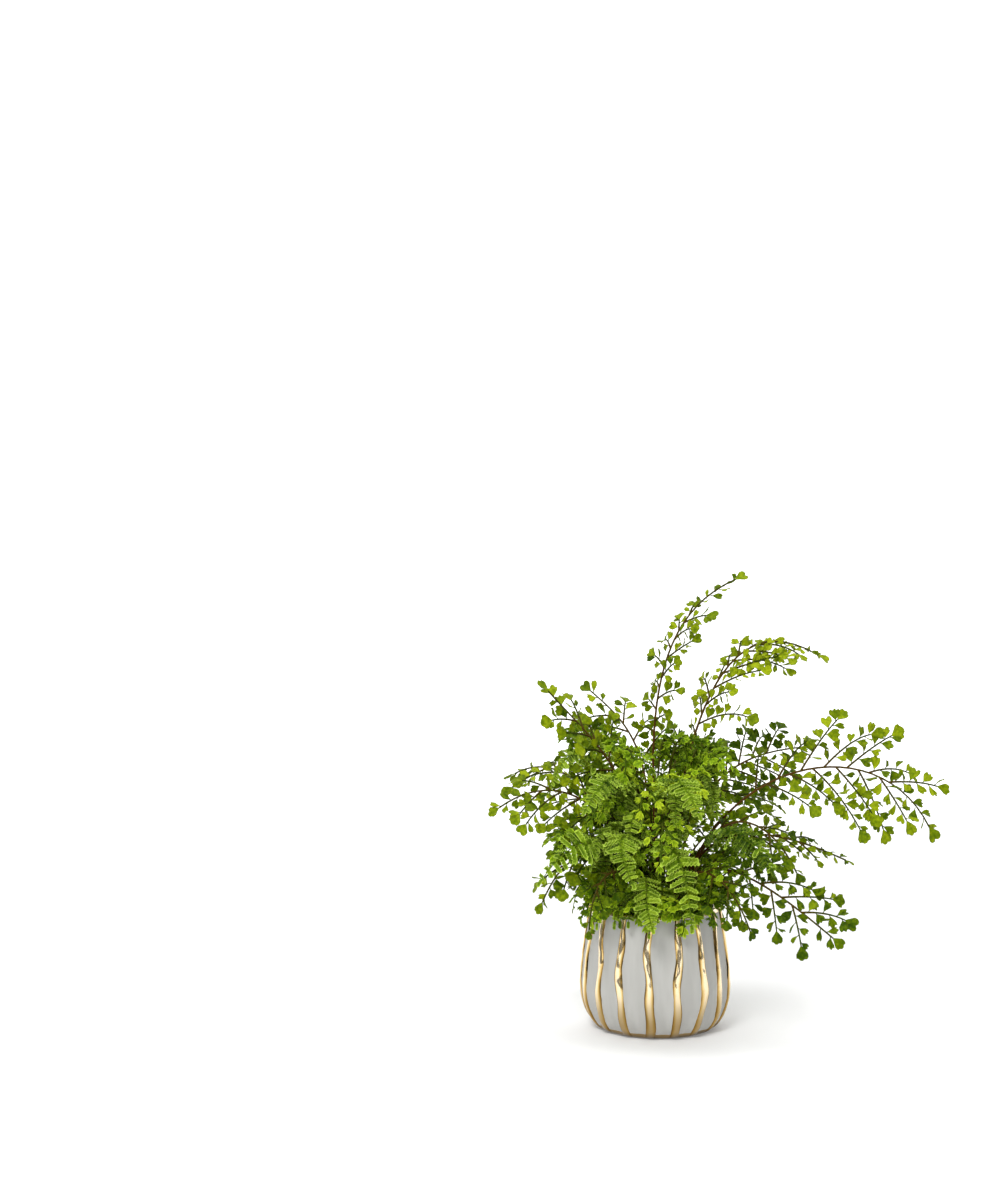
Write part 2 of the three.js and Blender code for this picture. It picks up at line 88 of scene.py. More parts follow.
class Signal:
    """A value on its way through a material. Arithmetic on it adds the Math nodes that work it out."""

    def __init__(self, paint: "Paint", socket: bpy.types.NodeSocket) -> None:
        """Wrap one output socket of a material's node tree."""
        self.paint = paint
        self.socket = socket

    def math(self, operation: str, *others: "Signal | float") -> "Signal":
        """Add one Math node that starts from this value.

        Args:
            operation: The Math node's operation.
            others: Its further inputs, as values or plain numbers.

        Returns:
            What the node gives.
        """
        return self.paint.node("ShaderNodeMath", {"operation": operation}, dict(enumerate((self, *others))))

    def __add__(self, other: "Signal | float") -> "Signal":
        """This value and the other together."""
        return self.math("ADD", other)

    def __mul__(self, other: "Signal | float") -> "Signal":
        """This value times the other."""
        return self.math("MULTIPLY", other)

    def __sub__(self, other: "Signal | float") -> "Signal":
        """This value less the other."""
        return self.math("SUBTRACT", other)

    def __rsub__(self, other: float) -> "Signal":
        """A plain number less this value."""
        return self.paint.node("ShaderNodeMath", {"operation": "SUBTRACT"}, {0: other, 1: self})

    __radd__ = __add__
    __rmul__ = __mul__

    def ramped(self, low: float, high: float) -> "Signal":
        """0 where this value is at or below low, 1 at or above high, and smooth between them."""
        settings = {"interpolation_type": "SMOOTHSTEP"}
        return self.paint.node("ShaderNodeMapRange", settings, {0: self, 1: low, 2: high})

    def fallen(self, low: float, high: float) -> "Signal":
        """1 where this value is at or below low, 0 at or above high, and smooth between them."""
        return 1 - self.ramped(low, high)

    def larger(self, other: "Signal | float") -> "Signal":
        """The larger of this value and the other."""
        return self.math("MAXIMUM", other)

    def size(self) -> "Signal":
        """This value without its sign."""
        return self.math("ABSOLUTE")

    def sine(self) -> "Signal":
        """The sine of this value, read as an angle in radians."""
        return self.math("SINE")


class Paint:
    """One material, with the few kinds of node that the finishes here are made of."""

    def __init__(self, name: str) -> None:
        """Begin an empty material of that name."""
        self.material = bpy.data.materials.new(name)
        self.material.use_nodes = True
        self.tree = self.material.node_tree
        self.tree.nodes.clear()

    def node(self, kind: str, settings: dict, inputs: dict, output: int | str = 0) -> Signal:
        """Add any node.

        Args:
            kind: The node's type.
            settings: Its own settings, which are set before its inputs. "stops" gives a colour ramp's stops.
            inputs: A value or a link for each input, by its name or number.
            output: Which of its outputs is wanted.

        Returns:
            That output.
        """
        node = self.tree.nodes.new(kind)
        for setting, value in settings.items():
            if setting == "stops":
                self._set_stops(node.color_ramp, value)
            else:
                setattr(node, setting, value)
        for key, value in inputs.items():
            if isinstance(value, Signal):
                self.tree.links.new(value.socket, node.inputs[key])
            else:
                node.inputs[key].default_value = value
        return Signal(self, node.outputs[output])

    @staticmethod
    def _set_stops(ramp: bpy.types.ColorRamp, stops: Sequence[tuple[float, Triple]]) -> None:
        """Give a new colour ramp its stops, from the lowest to the highest."""
        for index, (place, colour) in enumerate(stops):
            ready = index < len(ramp.elements)
            stop = ramp.elements[index] if ready else ramp.elements.new(place)
            stop.position = place
            stop.color = (*colour, 1)

    def place(self) -> Signal:
        """The place on the piece, in the object's own metres."""
        return self.node("ShaderNodeTexCoord", {}, {}, "Object")

    def grain(self) -> Signal:
        """What the piece's grain attribute holds."""
        return self.node("ShaderNodeAttribute", {"attribute_name": GRAIN}, {}, "Vector")

    def part(self, vector: Signal, axis: str) -> Signal:
        """One axis, "X", "Y" or "Z", of a vector."""
        return self.node("ShaderNodeSeparateXYZ", {}, {0: vector}, axis)

    def noise(self, vector: Signal, scale: float, detail: float = 2, stretch: Triple = (1, 1, 1)) -> Signal:
        """Cloudy noise from 0 to 1, about 0.5.

        Args:
            vector: Where it is read.
            scale: How many clouds there are to a metre.
            detail: How many finer layers there are on it.
            stretch: How much closer the clouds lie along each axis.

        Returns:
            The noise.
        """
        seen = self.node("ShaderNodeMapping", {}, {0: vector, 3: stretch})
        return self.node("ShaderNodeTexNoise", {}, {"Vector": seen, "Scale": scale, "Detail": detail})

    def ramp(self, value: Signal, stops: Sequence[tuple[float, Triple]]) -> Signal:
        """The colour of a ramp at a value."""
        return self.node("ShaderNodeValToRGB", {"stops": stops}, {0: value})

    def mixed(self, share: Signal | float, first: Signal | Triple, second: Signal | Triple) -> Signal:
        """A colour that goes from the first to the second as share goes from 0 to 1."""
        ends = [c if isinstance(c, Signal) else (*c, 1) for c in (first, second)]
        return self.node("ShaderNodeMix", {"data_type": "RGBA"}, {0: share, 6: ends[0], 7: ends[1]}, 2)

    def bump(self, height: Signal, distance: float, strength: float = 1.0) -> Signal:
        """A normal that is bent by a height of that many metres from 0 to 1."""
        return self.node("ShaderNodeBump", {}, {"Height": height, "Distance": distance, "Strength": strength})

    def shader(self, inputs: dict) -> Signal:
        """A Principled shader."""
        return self.node("ShaderNodeBsdfPrincipled", {}, inputs)

    def finish(self, surface: Signal) -> bpy.types.Material:
        """End the material with the shader that its surface shows."""
        output = self.tree.nodes.new("ShaderNodeOutputMaterial")
        self.tree.links.new(surface.socket, output.inputs["Surface"])
        return self.material


# ---- Finishes ----


@dataclass(frozen=True)
class LeafFinish:
    """A thin green leaf with raised veins, which lets some of the light through.

    Its grain is: across the leaf from -1 to 1, along it from 0 to 1, and its tone from 0 to 1. Its margin
    takes the edge colour, which is a painted highlight where that colour is pale.
    """

    name: str
    tones: tuple[Triple, Triple, Triple]  # dark, middling and light
    # The colour of the margin and the veins; where it is pale, the margin carries a painted highlight.
    edge: Triple
    glow: Triple
    veins: float  # how many veins there are from side to side
    vein_share: float  # how much paler they are
    margin_and_highlight_share: float  # how much of the edge's colour its margin takes on; a pale edge colour makes this a painted highlight
    rim_start: float = 0.6  # how far across the leaf its margin begins
    heart_share: float = 0.5  # how much darker the leaf's middle is
    through: float = 0.24
    roughness: float = 0.42
    shine: float = 0.07

    cloud_scale: ClassVar[float] = 55
    patch_scale: ClassVar[float] = 420
    tone_weight: ClassVar[float] = 0.85  # what tone, clouds and patches each add to the leaf's level
    cloud_weight: ClassVar[float] = 0.7
    patch_weight: ClassVar[float] = 1.4
    level_drop: ClassVar[float] = 0.97  # what is taken off it, so that a middling leaf is at the middle
    relief: ClassVar[float] = 0.35 * MM

    def material(self) -> bpy.types.Material:
        """The finished material."""
        paint = Paint(self.name)
        place, grain = paint.place(), paint.grain()
        across, along, tone = (paint.part(grain, axis) for axis in "XYZ")
        clouds = paint.noise(place, self.cloud_scale, 3)
        patches = paint.noise(place, self.patch_scale, 2)
        level = tone * self.tone_weight + clouds * self.cloud_weight + patches * self.patch_weight
        dark, middling, light = self.tones
        green = paint.ramp(level - self.level_drop, [(0.0, dark), (0.5, middling), (1.0, light)])
        vein = (across * (math.pi * self.veins)).sine().ramped(0.55, 1.0) * along.ramped(0.1, 0.4)
        sides = across.size().ramped(self.rim_start, 1.0) * along.ramped(0.05, 0.2)
        rim = along.ramped(0.82, 1.0).larger(sides)
        green = paint.mixed(rim.fallen(0, 0.5) * self.heart_share, green, dark)
        colour = paint.mixed(vein * self.vein_share, green, self.edge)
        # Painted highlight on the margin where the edge colour is pale, stronger on lighter leaves.
        colour = paint.mixed(rim * tone.ramped(-0.15, 0.45) * self.margin_and_highlight_share, colour, self.edge)
        rough = self.roughness + patches * 0.2 - vein * 0.08
        normal = paint.bump(vein * 0.6 + patches * 0.5, self.relief, 0.5)
        inputs = {"Base Color": colour, "Roughness": rough, "Normal": normal}
        leaf = paint.shader({**inputs, "Specular IOR Level": self.shine})
        lit = paint.node("ShaderNodeBsdfTranslucent", {}, {"Color": (*self.glow, 1)})
        return paint.finish(paint.node("ShaderNodeMixShader", {}, {0: self.through, 1: leaf, 2: lit}))


@dataclass(frozen=True)
class WireFinish:
    """A hard, wiry stem. Its grain's second value is 0 where it is fresh and 1 where it is ripe."""

    name: str
    fresh: Triple
    ripe: Triple

    mottle_scale: ClassVar[float] = 300
    streak_scale: ClassVar[float] = 900
    streak_stretch: ClassVar[Triple] = (1, 1, 0.2)
    streak_depth: ClassVar[float] = 0.12 * MM
    shine: ClassVar[float] = 0.02

    def material(self) -> bpy.types.Material:
        """The finished material."""
        paint = Paint(self.name)
        place = paint.place()
        ripeness = paint.part(paint.grain(), "Y")
        mottle = paint.noise(place, self.mottle_scale, 3)
        streaks = paint.noise(place, self.streak_scale, 1, self.streak_stretch)
        colour = paint.mixed((ripeness + mottle * 0.5 - 0.25).ramped(0.1, 0.9), self.fresh, self.ripe)
        normal = paint.bump(streaks, self.streak_depth, 0.5)
        inputs = {"Base Color": colour, "Roughness": 0.4 + mottle * 0.2, "Normal": normal}
        return paint.finish(paint.shader({**inputs, "Specular IOR Level": self.shine}))


@dataclass(frozen=True)
class PotFinish:
    """Pale satin glaze on the panels, and polished gold on the ribs, the lip and the foot.

    Its grain's first value is 0 on a rib's crest, 1 at the rib's foot and more on a panel. The gold carries a
    painted highlight on the crests and painted shade on the flanks, the margins, low down and at the foot.
    """

    glaze: Triple = (0.49, 0.487, 0.462)
    glaze_grey: Triple = (0.415, 0.41, 0.385)
    # Painted highlight: the pale gold on the ribs' crests.
    painted_highlight_gold: Triple = (0.93, 0.78, 0.52)
    gold: Triple = (0.8, 0.58, 0.25)
    # Worn patches, and painted shade on the ribs' flanks and low on the pot.
    worn_and_shaded_gold: Triple = (0.32, 0.19, 0.045)
    # Painted shade: the dark line on the ribs' margins and the darkened foot.
    edge_shade: Triple = (0.05, 0.03, 0.01)
    foot_band: float = 5.0 * MM  # the height up to which the foot is gold
    lip_band: float = 97.6 * MM  # the height from which the lip is gold
    band_edge: float = 0.3 * MM  # how softly both end
    brush_scale: float = 130
    brush_stretch: Triple = (1, 1, 0.12)
    cloud_scale: float = 28
    speck_scale: float = 1500
    waver_scale: float = 160
    wear_scale: float = 150
    drift_scale: float = 75
    drift_stretch: Triple = (1, 1, 0.5)
    dent_scale: float = 48
    relief: float = 0.9 * MM

    def material(self) -> bpy.types.Material:
        """The finished material."""
        paint = Paint("glazed_pot_with_gold")
        place, off_crest = paint.place(), paint.part(paint.grain(), "X")
        height = paint.part(place, "Z")
        brushed = paint.noise(place, self.brush_scale, 3, self.brush_stretch)
        worn = paint.noise(place, self.wear_scale, 2).ramped(0.45, 0.85)

        # Where the gold lies. Its margin wavers.
        waver = paint.noise(place, self.waver_scale, 2) * 0.16 - 0.08
        rib = (off_crest + waver).fallen(0.9, 0.97)
        foot = (height + waver * (6 * MM)).fallen(self.foot_band - self.band_edge, self.foot_band)
        lip = (height + waver * (5 * MM)).ramped(self.lip_band, self.lip_band + self.band_edge)
        gilt = rib.larger(foot).larger(lip)

        # The gold's colour: a painted highlight on the crests, painted shade deeper towards a rib's foot, a
        # dark painted line at its margin, and painted shade low on the pot.
        drift = paint.noise(place, self.drift_scale, 1, self.drift_stretch) * 0.9 - 0.45
        stops = [(0.0, self.painted_highlight_gold), (0.25, self.painted_highlight_gold), (0.5, self.gold), (0.78, self.worn_and_shaded_gold)]
        gold = paint.ramp((off_crest + drift).size() * rib, [*stops, (0.93, self.edge_shade)])
        # Painted shade: the gold is darker towards the bottom of the pot, where the floor beside it lies in
        # shade.
        low = height.fallen(8 * MM, 48 * MM) * 0.75
        gold = paint.mixed((worn * 0.4).larger(low), gold, self.worn_and_shaded_gold)
        # Painted shade: the gold is darkest at the foot, where the pot meets the floor.
        gold = paint.mixed(height.fallen(1 * MM, 8 * MM) * 0.7, gold, self.edge_shade)

        # The glaze's colour, brushed from top to bottom.
        clouds = paint.noise(place, self.cloud_scale, 2)
        glaze = paint.mixed(brushed.ramped(0.3, 0.75) * 0.7 + clouds * 0.3, self.glaze_grey, self.glaze)

        # Both surfaces: shallow dents in the gold, fine specks and brush marks in the glaze.
        specks = paint.noise(place, self.speck_scale, 2)
        dents = paint.noise(place, self.dent_scale, 1)
        raised = gilt * dents + (1 - gilt) * (specks * 0.03 + brushed * 0.06)
        rough = gilt * (0.11 + worn * 0.08) + (1 - gilt) * (0.42 + brushed * 0.16)
        inputs = {"Base Color": paint.mixed(gilt, glaze, gold), "Metallic": gilt, "Roughness": rough}
        return paint.finish(paint.shader({**inputs, "Normal": paint.bump(raised, self.relief, 0.6)}))


@dataclass(frozen=True)
class MossFinish:
    """Dry curly moss. Its grain's third value is its tone, from brown over olive to yellow-green."""

    brown: Triple = (0.09, 0.045, 0.018)
    olive: Triple = (0.085, 0.09, 0.014)
    yellow: Triple = (0.3, 0.3, 0.07)
    cloud_scale: float = 60
    fuzz_scale: float = 1100
    fuzz_depth: float = 0.5 * MM
    roughness: float = 0.85

    def material(self) -> bpy.types.Material:
        """The finished material."""
        paint = Paint("curly_moss")
        place, tone = paint.place(), paint.part(paint.grain(), "Z")
        level = tone * 0.8 + paint.noise(place, self.cloud_scale, 2) * 0.6 - 0.3
        colour = paint.ramp(level, [(0.0, self.brown), (0.35, self.olive), (1.0, self.yellow)])
        normal = paint.bump(paint.noise(place, self.fuzz_scale, 3), self.fuzz_depth)
        inputs = {"Base Color": colour, "Roughness": self.roughness, "Normal": normal}
        return paint.finish(paint.shader(inputs))


@dataclass(frozen=True)
class SoilFinish:
    """Dark crumbly potting soil."""

    dark: Triple = (0.012, 0.008, 0.005)
    light: Triple = (0.07, 0.045, 0.028)
    crumb_scale: float = 520.0
    cloud_scale: float = 240
    depth: float = 1.2 * MM
    roughness: float = 0.95

    def material(self) -> bpy.types.Material:
        """The finished material."""
        paint = Paint("crumbly_soil")
        place = paint.place()
        cells = {"Vector": place, "Scale": self.crumb_scale}
        crumbs = paint.node("ShaderNodeTexVoronoi", {}, cells, "Distance")
        clouds = paint.noise(place, self.cloud_scale, 4)
        colour = paint.mixed(crumbs * 0.6 + clouds * 0.5, self.light, self.dark)
        normal = paint.bump(clouds - crumbs, self.depth)
        inputs = {"Base Color": colour, "Roughness": self.roughness, "Normal": normal}
        return paint.finish(paint.shader(inputs))


@dataclass(frozen=True)
class StudioFinish:
    """The seamless white of the studio's floor and wall."""

    white: Triple = (0.8, 0.8, 0.8)
    floor_lift: Triple = (0.17, 0.17, 0.17)
    wall_lift: Triple = (0.86, 0.86, 0.86)
    turn: tuple[float, float] = (0.5, 2.1)  # how far out the floor's own light goes over into the wall's
    roughness: float = 0.8

    def material(self) -> bpy.types.Material:
        """The finished material."""
        paint = Paint("studio_white")
        distance = paint.node("ShaderNodeVectorMath", {"operation": "LENGTH"}, {0: paint.place()}, "Value")
        lift = paint.mixed(distance.ramped(*self.turn), self.floor_lift, self.wall_lift)
        lit = {"Emission Color": lift, "Emission Strength": 1.0}
        surface = {"Base Color": (*self.white, 1), "Roughness": self.roughness}
        return paint.finish(paint.shader({**surface, **lit}))


# ---- Modelling ----


def placed(name: str, data: bpy.types.ID) -> bpy.types.Object:
    """A new object in the scene, made of the given data."""
    thing = bpy.data.objects.new(name, data)
    bpy.context.scene.collection.objects.link(thing)
    return thing


def dress(mesh: bpy.types.Mesh, *materials: bpy.types.Material) -> None:
    """Give a mesh its materials, in the order of their numbers, and smooth faces."""
    for material in materials:
        mesh.materials.append(material)
    mesh.polygons.foreach_set("use_smooth", [True] * len(mesh.polygons))


def give_grain(mesh: bpy.types.Mesh, grain: np.ndarray) -> None:
    """Keep three numbers for each corner of a mesh in its grain attribute."""
    attribute = mesh.attributes.new(GRAIN, "FLOAT_VECTOR", "POINT")
    attribute.data.foreach_set("vector", np.asarray(grain, np.float32).ravel())


def seat(piece: bpy.types.Object, slot: Slot, *nodes: str) -> None:
    """Fix a finished piece to the plant's one body, in place of the nodes that it stands for."""
    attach(piece, "root")
    if nodes:
        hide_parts(*nodes)
    LOG.info("%s: %d faces", piece.name, len(piece.data.polygons))


class Bench:
    """Where one piece at a time is modelled by hand, from a primitive to a finished mesh."""

    @staticmethod
    def begin(name: str, add: Callable[..., set], **sizes: object) -> bpy.types.Object:
        """Add a primitive, with nothing else selected.

        Args:
            name: The new object's name.
            add: The operator that adds it.
            sizes: The operator's own settings.

        Returns:
            The new object.
        """
        bpy.ops.object.select_all(action="DESELECT")
        add(**sizes)
        piece = bpy.context.view_layer.objects.active
        piece.name = name
        piece.data.name = name
        return piece

    @staticmethod
    def apply(piece: bpy.types.Object, kind: str, **settings: object) -> None:
        """Finish a piece with one modifier, and apply it."""
        modifier = piece.modifiers.new(kind.title(), kind)
        for setting, value in settings.items():
            setattr(modifier, setting, value)
        bpy.context.view_layer.objects.active = piece
        bpy.ops.object.modifier_apply(modifier=modifier.name)

    @staticmethod
    def turned(name: str, profile: Sequence[tuple[float, float]], steps: int) -> bpy.types.Object:
        """Turn a profile about Z, as on a lathe.

        Args:
            name: The new object's name.
            profile: Its radius and height at each point, from the axis or closed on itself.
            steps: How many columns of faces go round.

        Returns:
            The closed body.
        """
        radius, height = profile[0]
        piece = Bench.begin(name, bpy.ops.mesh.primitive_plane_add, size=MM, location=(0, 0, 0))
        bpy.ops.object.mode_set(mode="EDIT")
        bpy.ops.mesh.select_all(action="SELECT")
        bpy.ops.mesh.merge(type="CENTER")
        bpy.ops.transform.translate(value=(radius, 0, height))
        for (from_r, from_z), (to_r, to_z) in zip(profile, profile[1:]):
            step = {"value": (to_r - from_r, 0, to_z - from_z)}
            bpy.ops.mesh.extrude_region_move(TRANSFORM_OT_translate=step)
        bpy.ops.mesh.select_all(action="SELECT")
        bpy.ops.mesh.spin(steps=steps, angle=math.tau, center=(0, 0, 0), axis=(0, 0, 1))
        bpy.ops.mesh.select_all(action="SELECT")
        bpy.ops.mesh.remove_doubles(threshold=0.002 * MM)
        bpy.ops.mesh.normals_make_consistent(inside=False)
        bpy.ops.object.mode_set(mode="OBJECT")
        return piece

    @staticmethod
    def corners(piece: bpy.types.Object) -> np.ndarray:
        """The places of a piece's corners, one to a row."""
        corners = np.empty(len(piece.data.vertices) * 3)
        piece.data.vertices.foreach_get("co", corners)
        return corners.reshape(-1, 3)

    @staticmethod
    def move(piece: bpy.types.Object, corners: np.ndarray) -> None:
        """Move a piece's corners to new places, one to a row."""
        piece.data.vertices.foreach_set("co", corners.ravel())
        piece.data.update()

    @staticmethod
    def cleared(piece: bpy.types.Object) -> tuple[np.ndarray, list[tuple[int, ...]]]:
        """Take a piece off the bench, and give the places of its corners, and its faces."""
        corners = Bench.corners(piece)
        faces = [tuple(face.vertices) for face in piece.data.polygons]
        bpy.data.meshes.remove(piece.data)
        return corners, faces


@dataclass
class Form:
    """A small shape that is modelled once and set down many times."""

    corners: np.ndarray  # one to a row
    faces: list[tuple[int, ...]]
    grain: np.ndarray  # across and along, for each corner

    @classmethod
    def from_grid(
        cls,
        name: str,
        cells: tuple[int, int],
        place: Callable[[np.ndarray, np.ndarray], np.ndarray],
        skin: float,
    ) -> "Form":
        """Shape a flat grid into a leaf and give it its thickness.

        Args:
            name: What the leaf is called while it is on the bench.
            cells: How many faces the grid has across and along.
            place: Takes across from -1 to 1 and along from 0 to 1, and gives the corners' places.
            skin: The leaf's thickness.

        Returns:
            The closed leaf.
        """
        columns, rows = cells
        sizes = {"x_subdivisions": columns, "y_subdivisions": rows, "size": 2}
        piece = Bench.begin(name, bpy.ops.mesh.primitive_grid_add, **sizes)
        flat = Bench.corners(piece)
        across, along = flat[:, 0], (flat[:, 1] + 1) / 2
        Bench.move(piece, place(across, along))
        Bench.apply(piece, "SOLIDIFY", thickness=skin, offset=0)
        grain = np.column_stack([np.tile(across, 2), np.tile(along, 2)])
        return cls(*Bench.cleared(piece), grain)


@dataclass
class Axes:
    """A place on a line, with the ways ahead, to its left and up from it."""

    at: Vector
    ahead: Vector
    left: Vector
    up: Vector


class Bend:
    """A smooth line through space, given by the control points of a Bezier curve."""

    def __init__(self, controls: Sequence[Vector]) -> None:
        """Keep the control points, from the line's foot to its tip."""
        self.controls = list(controls)

    @classmethod
    def through(cls, foot: Vector, low: Vector, high: Vector, tip: Vector) -> "Bend":
        """The cubic that passes four points at equal steps."""
        first = foot * (-5 / 6) + low * 3 - high * 1.5 + tip / 3
        second = foot / 3 - low * 1.5 + high * 3 - tip * (5 / 6)
        return cls([foot, first, second, tip])

    def _drawn_together(self, share: float, left_over: int) -> list[Vector]:
        """Draw neighbouring points together at a share until only so many are left over."""
        points = self.controls
        while len(points) > left_over:
            points = [a.lerp(b, share) for a, b in zip(points, points[1:])]
        return points

    def at(self, share: float) -> Vector:
        """The point at a share of the line."""
        return self._drawn_together(share, 1)[0]

    def axes(self, share: float, left: Vector) -> Axes:
        """The axes at a share of the line, with the left as near to a given way as it can be."""
        start, end = self._drawn_together(share, 2)
        ahead = (end - start).normalized()
        across = (left - ahead * left.dot(ahead)).normalized()
        return Axes(start.lerp(end, share), ahead, across, ahead.cross(across))

    def length(self, steps: int = 24) -> float:
        """The line's length."""
        points = [self.at(i / steps) for i in range(steps + 1)]
        return sum((b - a).length for a, b in zip(points, points[1:]))


class Growth:
    """Gathers wires and copies of small forms into the mesh of one piece."""

    sharp: ClassVar[float] = math.radians(42)  # an edge between faces that meet at more is kept sharp

    def __init__(self) -> None:
        """Begin with nothing."""
        self.corners: list[np.ndarray] = []
        self.grain: list[np.ndarray] = []
        self.faces: list[tuple[int, ...]] = []
        self.finishes: list[int] = []
        self.count = 0

    def add(
        self, corners: np.ndarray, faces: Sequence[tuple[int, ...]], grain: np.ndarray, finish: int
    ) -> None:
        """Add some faces.

        Args:
            corners: The places of their corners, one to a row.
            faces: The corners of each face, by row.
            grain: Three numbers for each corner.
            finish: The number of the material that they take.
        """
        self.faces += [tuple(self.count + corner for corner in face) for face in faces]
        self.finishes += [finish] * len(faces)
        self.corners.append(corners)
        self.grain.append(grain)
        self.count += len(corners)

    def stamp(self, form: Form, place: Matrix, tone: float, finish: int = 0) -> None:
        """Set down a copy of a form.

        Args:
            form: What is copied.
            place: Where it goes, with its turn and its size.
            tone: The copy's own tone, from 0 to 1.
            finish: The number of its material.
        """
        turn = np.array(place.to_3x3())
        corners = form.corners @ turn.T + np.array(place.translation)
        grain = np.column_stack([form.grain, np.full(len(corners), tone)])
        self.add(corners, form.faces, grain, finish)

    def wire(
        self,
        line: Bend,
        left: Vector,
        ends: tuple[float, float],
        radii: tuple[float, float],
        ripeness: tuple[float, float],
        steps: int,
        sides: int = 5,
        finish: int = 1,
    ) -> None:
        """Draw a closed wire along a line.

        Args:
            line: The line.
            left: The way that one of its corners faces.
            ends: The shares of the line where it starts and ends.
            radii: Its radius at either end.
            ripeness: Its ripeness at either end.
            steps: How many stretches it has.
            sides: How many sides its section has.
            finish: The number of its material.
        """
        rings, grain = [], []
        for i in range(steps + 1):
            axes = line.axes(blend(*ends, i / steps), left)
            radius = blend(*radii, i / steps)
            for side in range(sides):
                turn = math.tau * side / sides
                rings.append(axes.at + (axes.left * math.cos(turn) + axes.up * math.sin(turn)) * radius)
                grain.append((side / sides, blend(*ripeness, i / steps), 0.5))
        faces = [tuple(reversed(range(sides))), tuple(range(steps * sides, (steps + 1) * sides))]
        for i in range(steps):
            for side in range(sides):
                low, next_low = i * sides + side, i * sides + (side + 1) % sides
                faces.append((low, next_low, next_low + sides, low + sides))
        self.add(np.array(rings), faces, np.array(grain), finish)

    def piece(self, name: str, materials: Sequence[bpy.types.Material]) -> bpy.types.Object:
        """Make the gathered faces an object.

        Args:
            name: Its name.
            materials: Its materials, by number.

        Returns:
            The object, with its place in its mesh.
        """
        mesh = bpy.data.meshes.new(name)
        mesh.from_pydata(np.concatenate(self.corners).tolist(), [], self.faces)
        dress(mesh, *materials)
        mesh.polygons.foreach_set("material_index", self.finishes)
        give_grain(mesh, np.concatenate(self.grain))
        mesh.set_sharp_from_angle(angle=self.sharp)
        mesh.update()
        return placed(name, mesh)


# ---- Pot ----


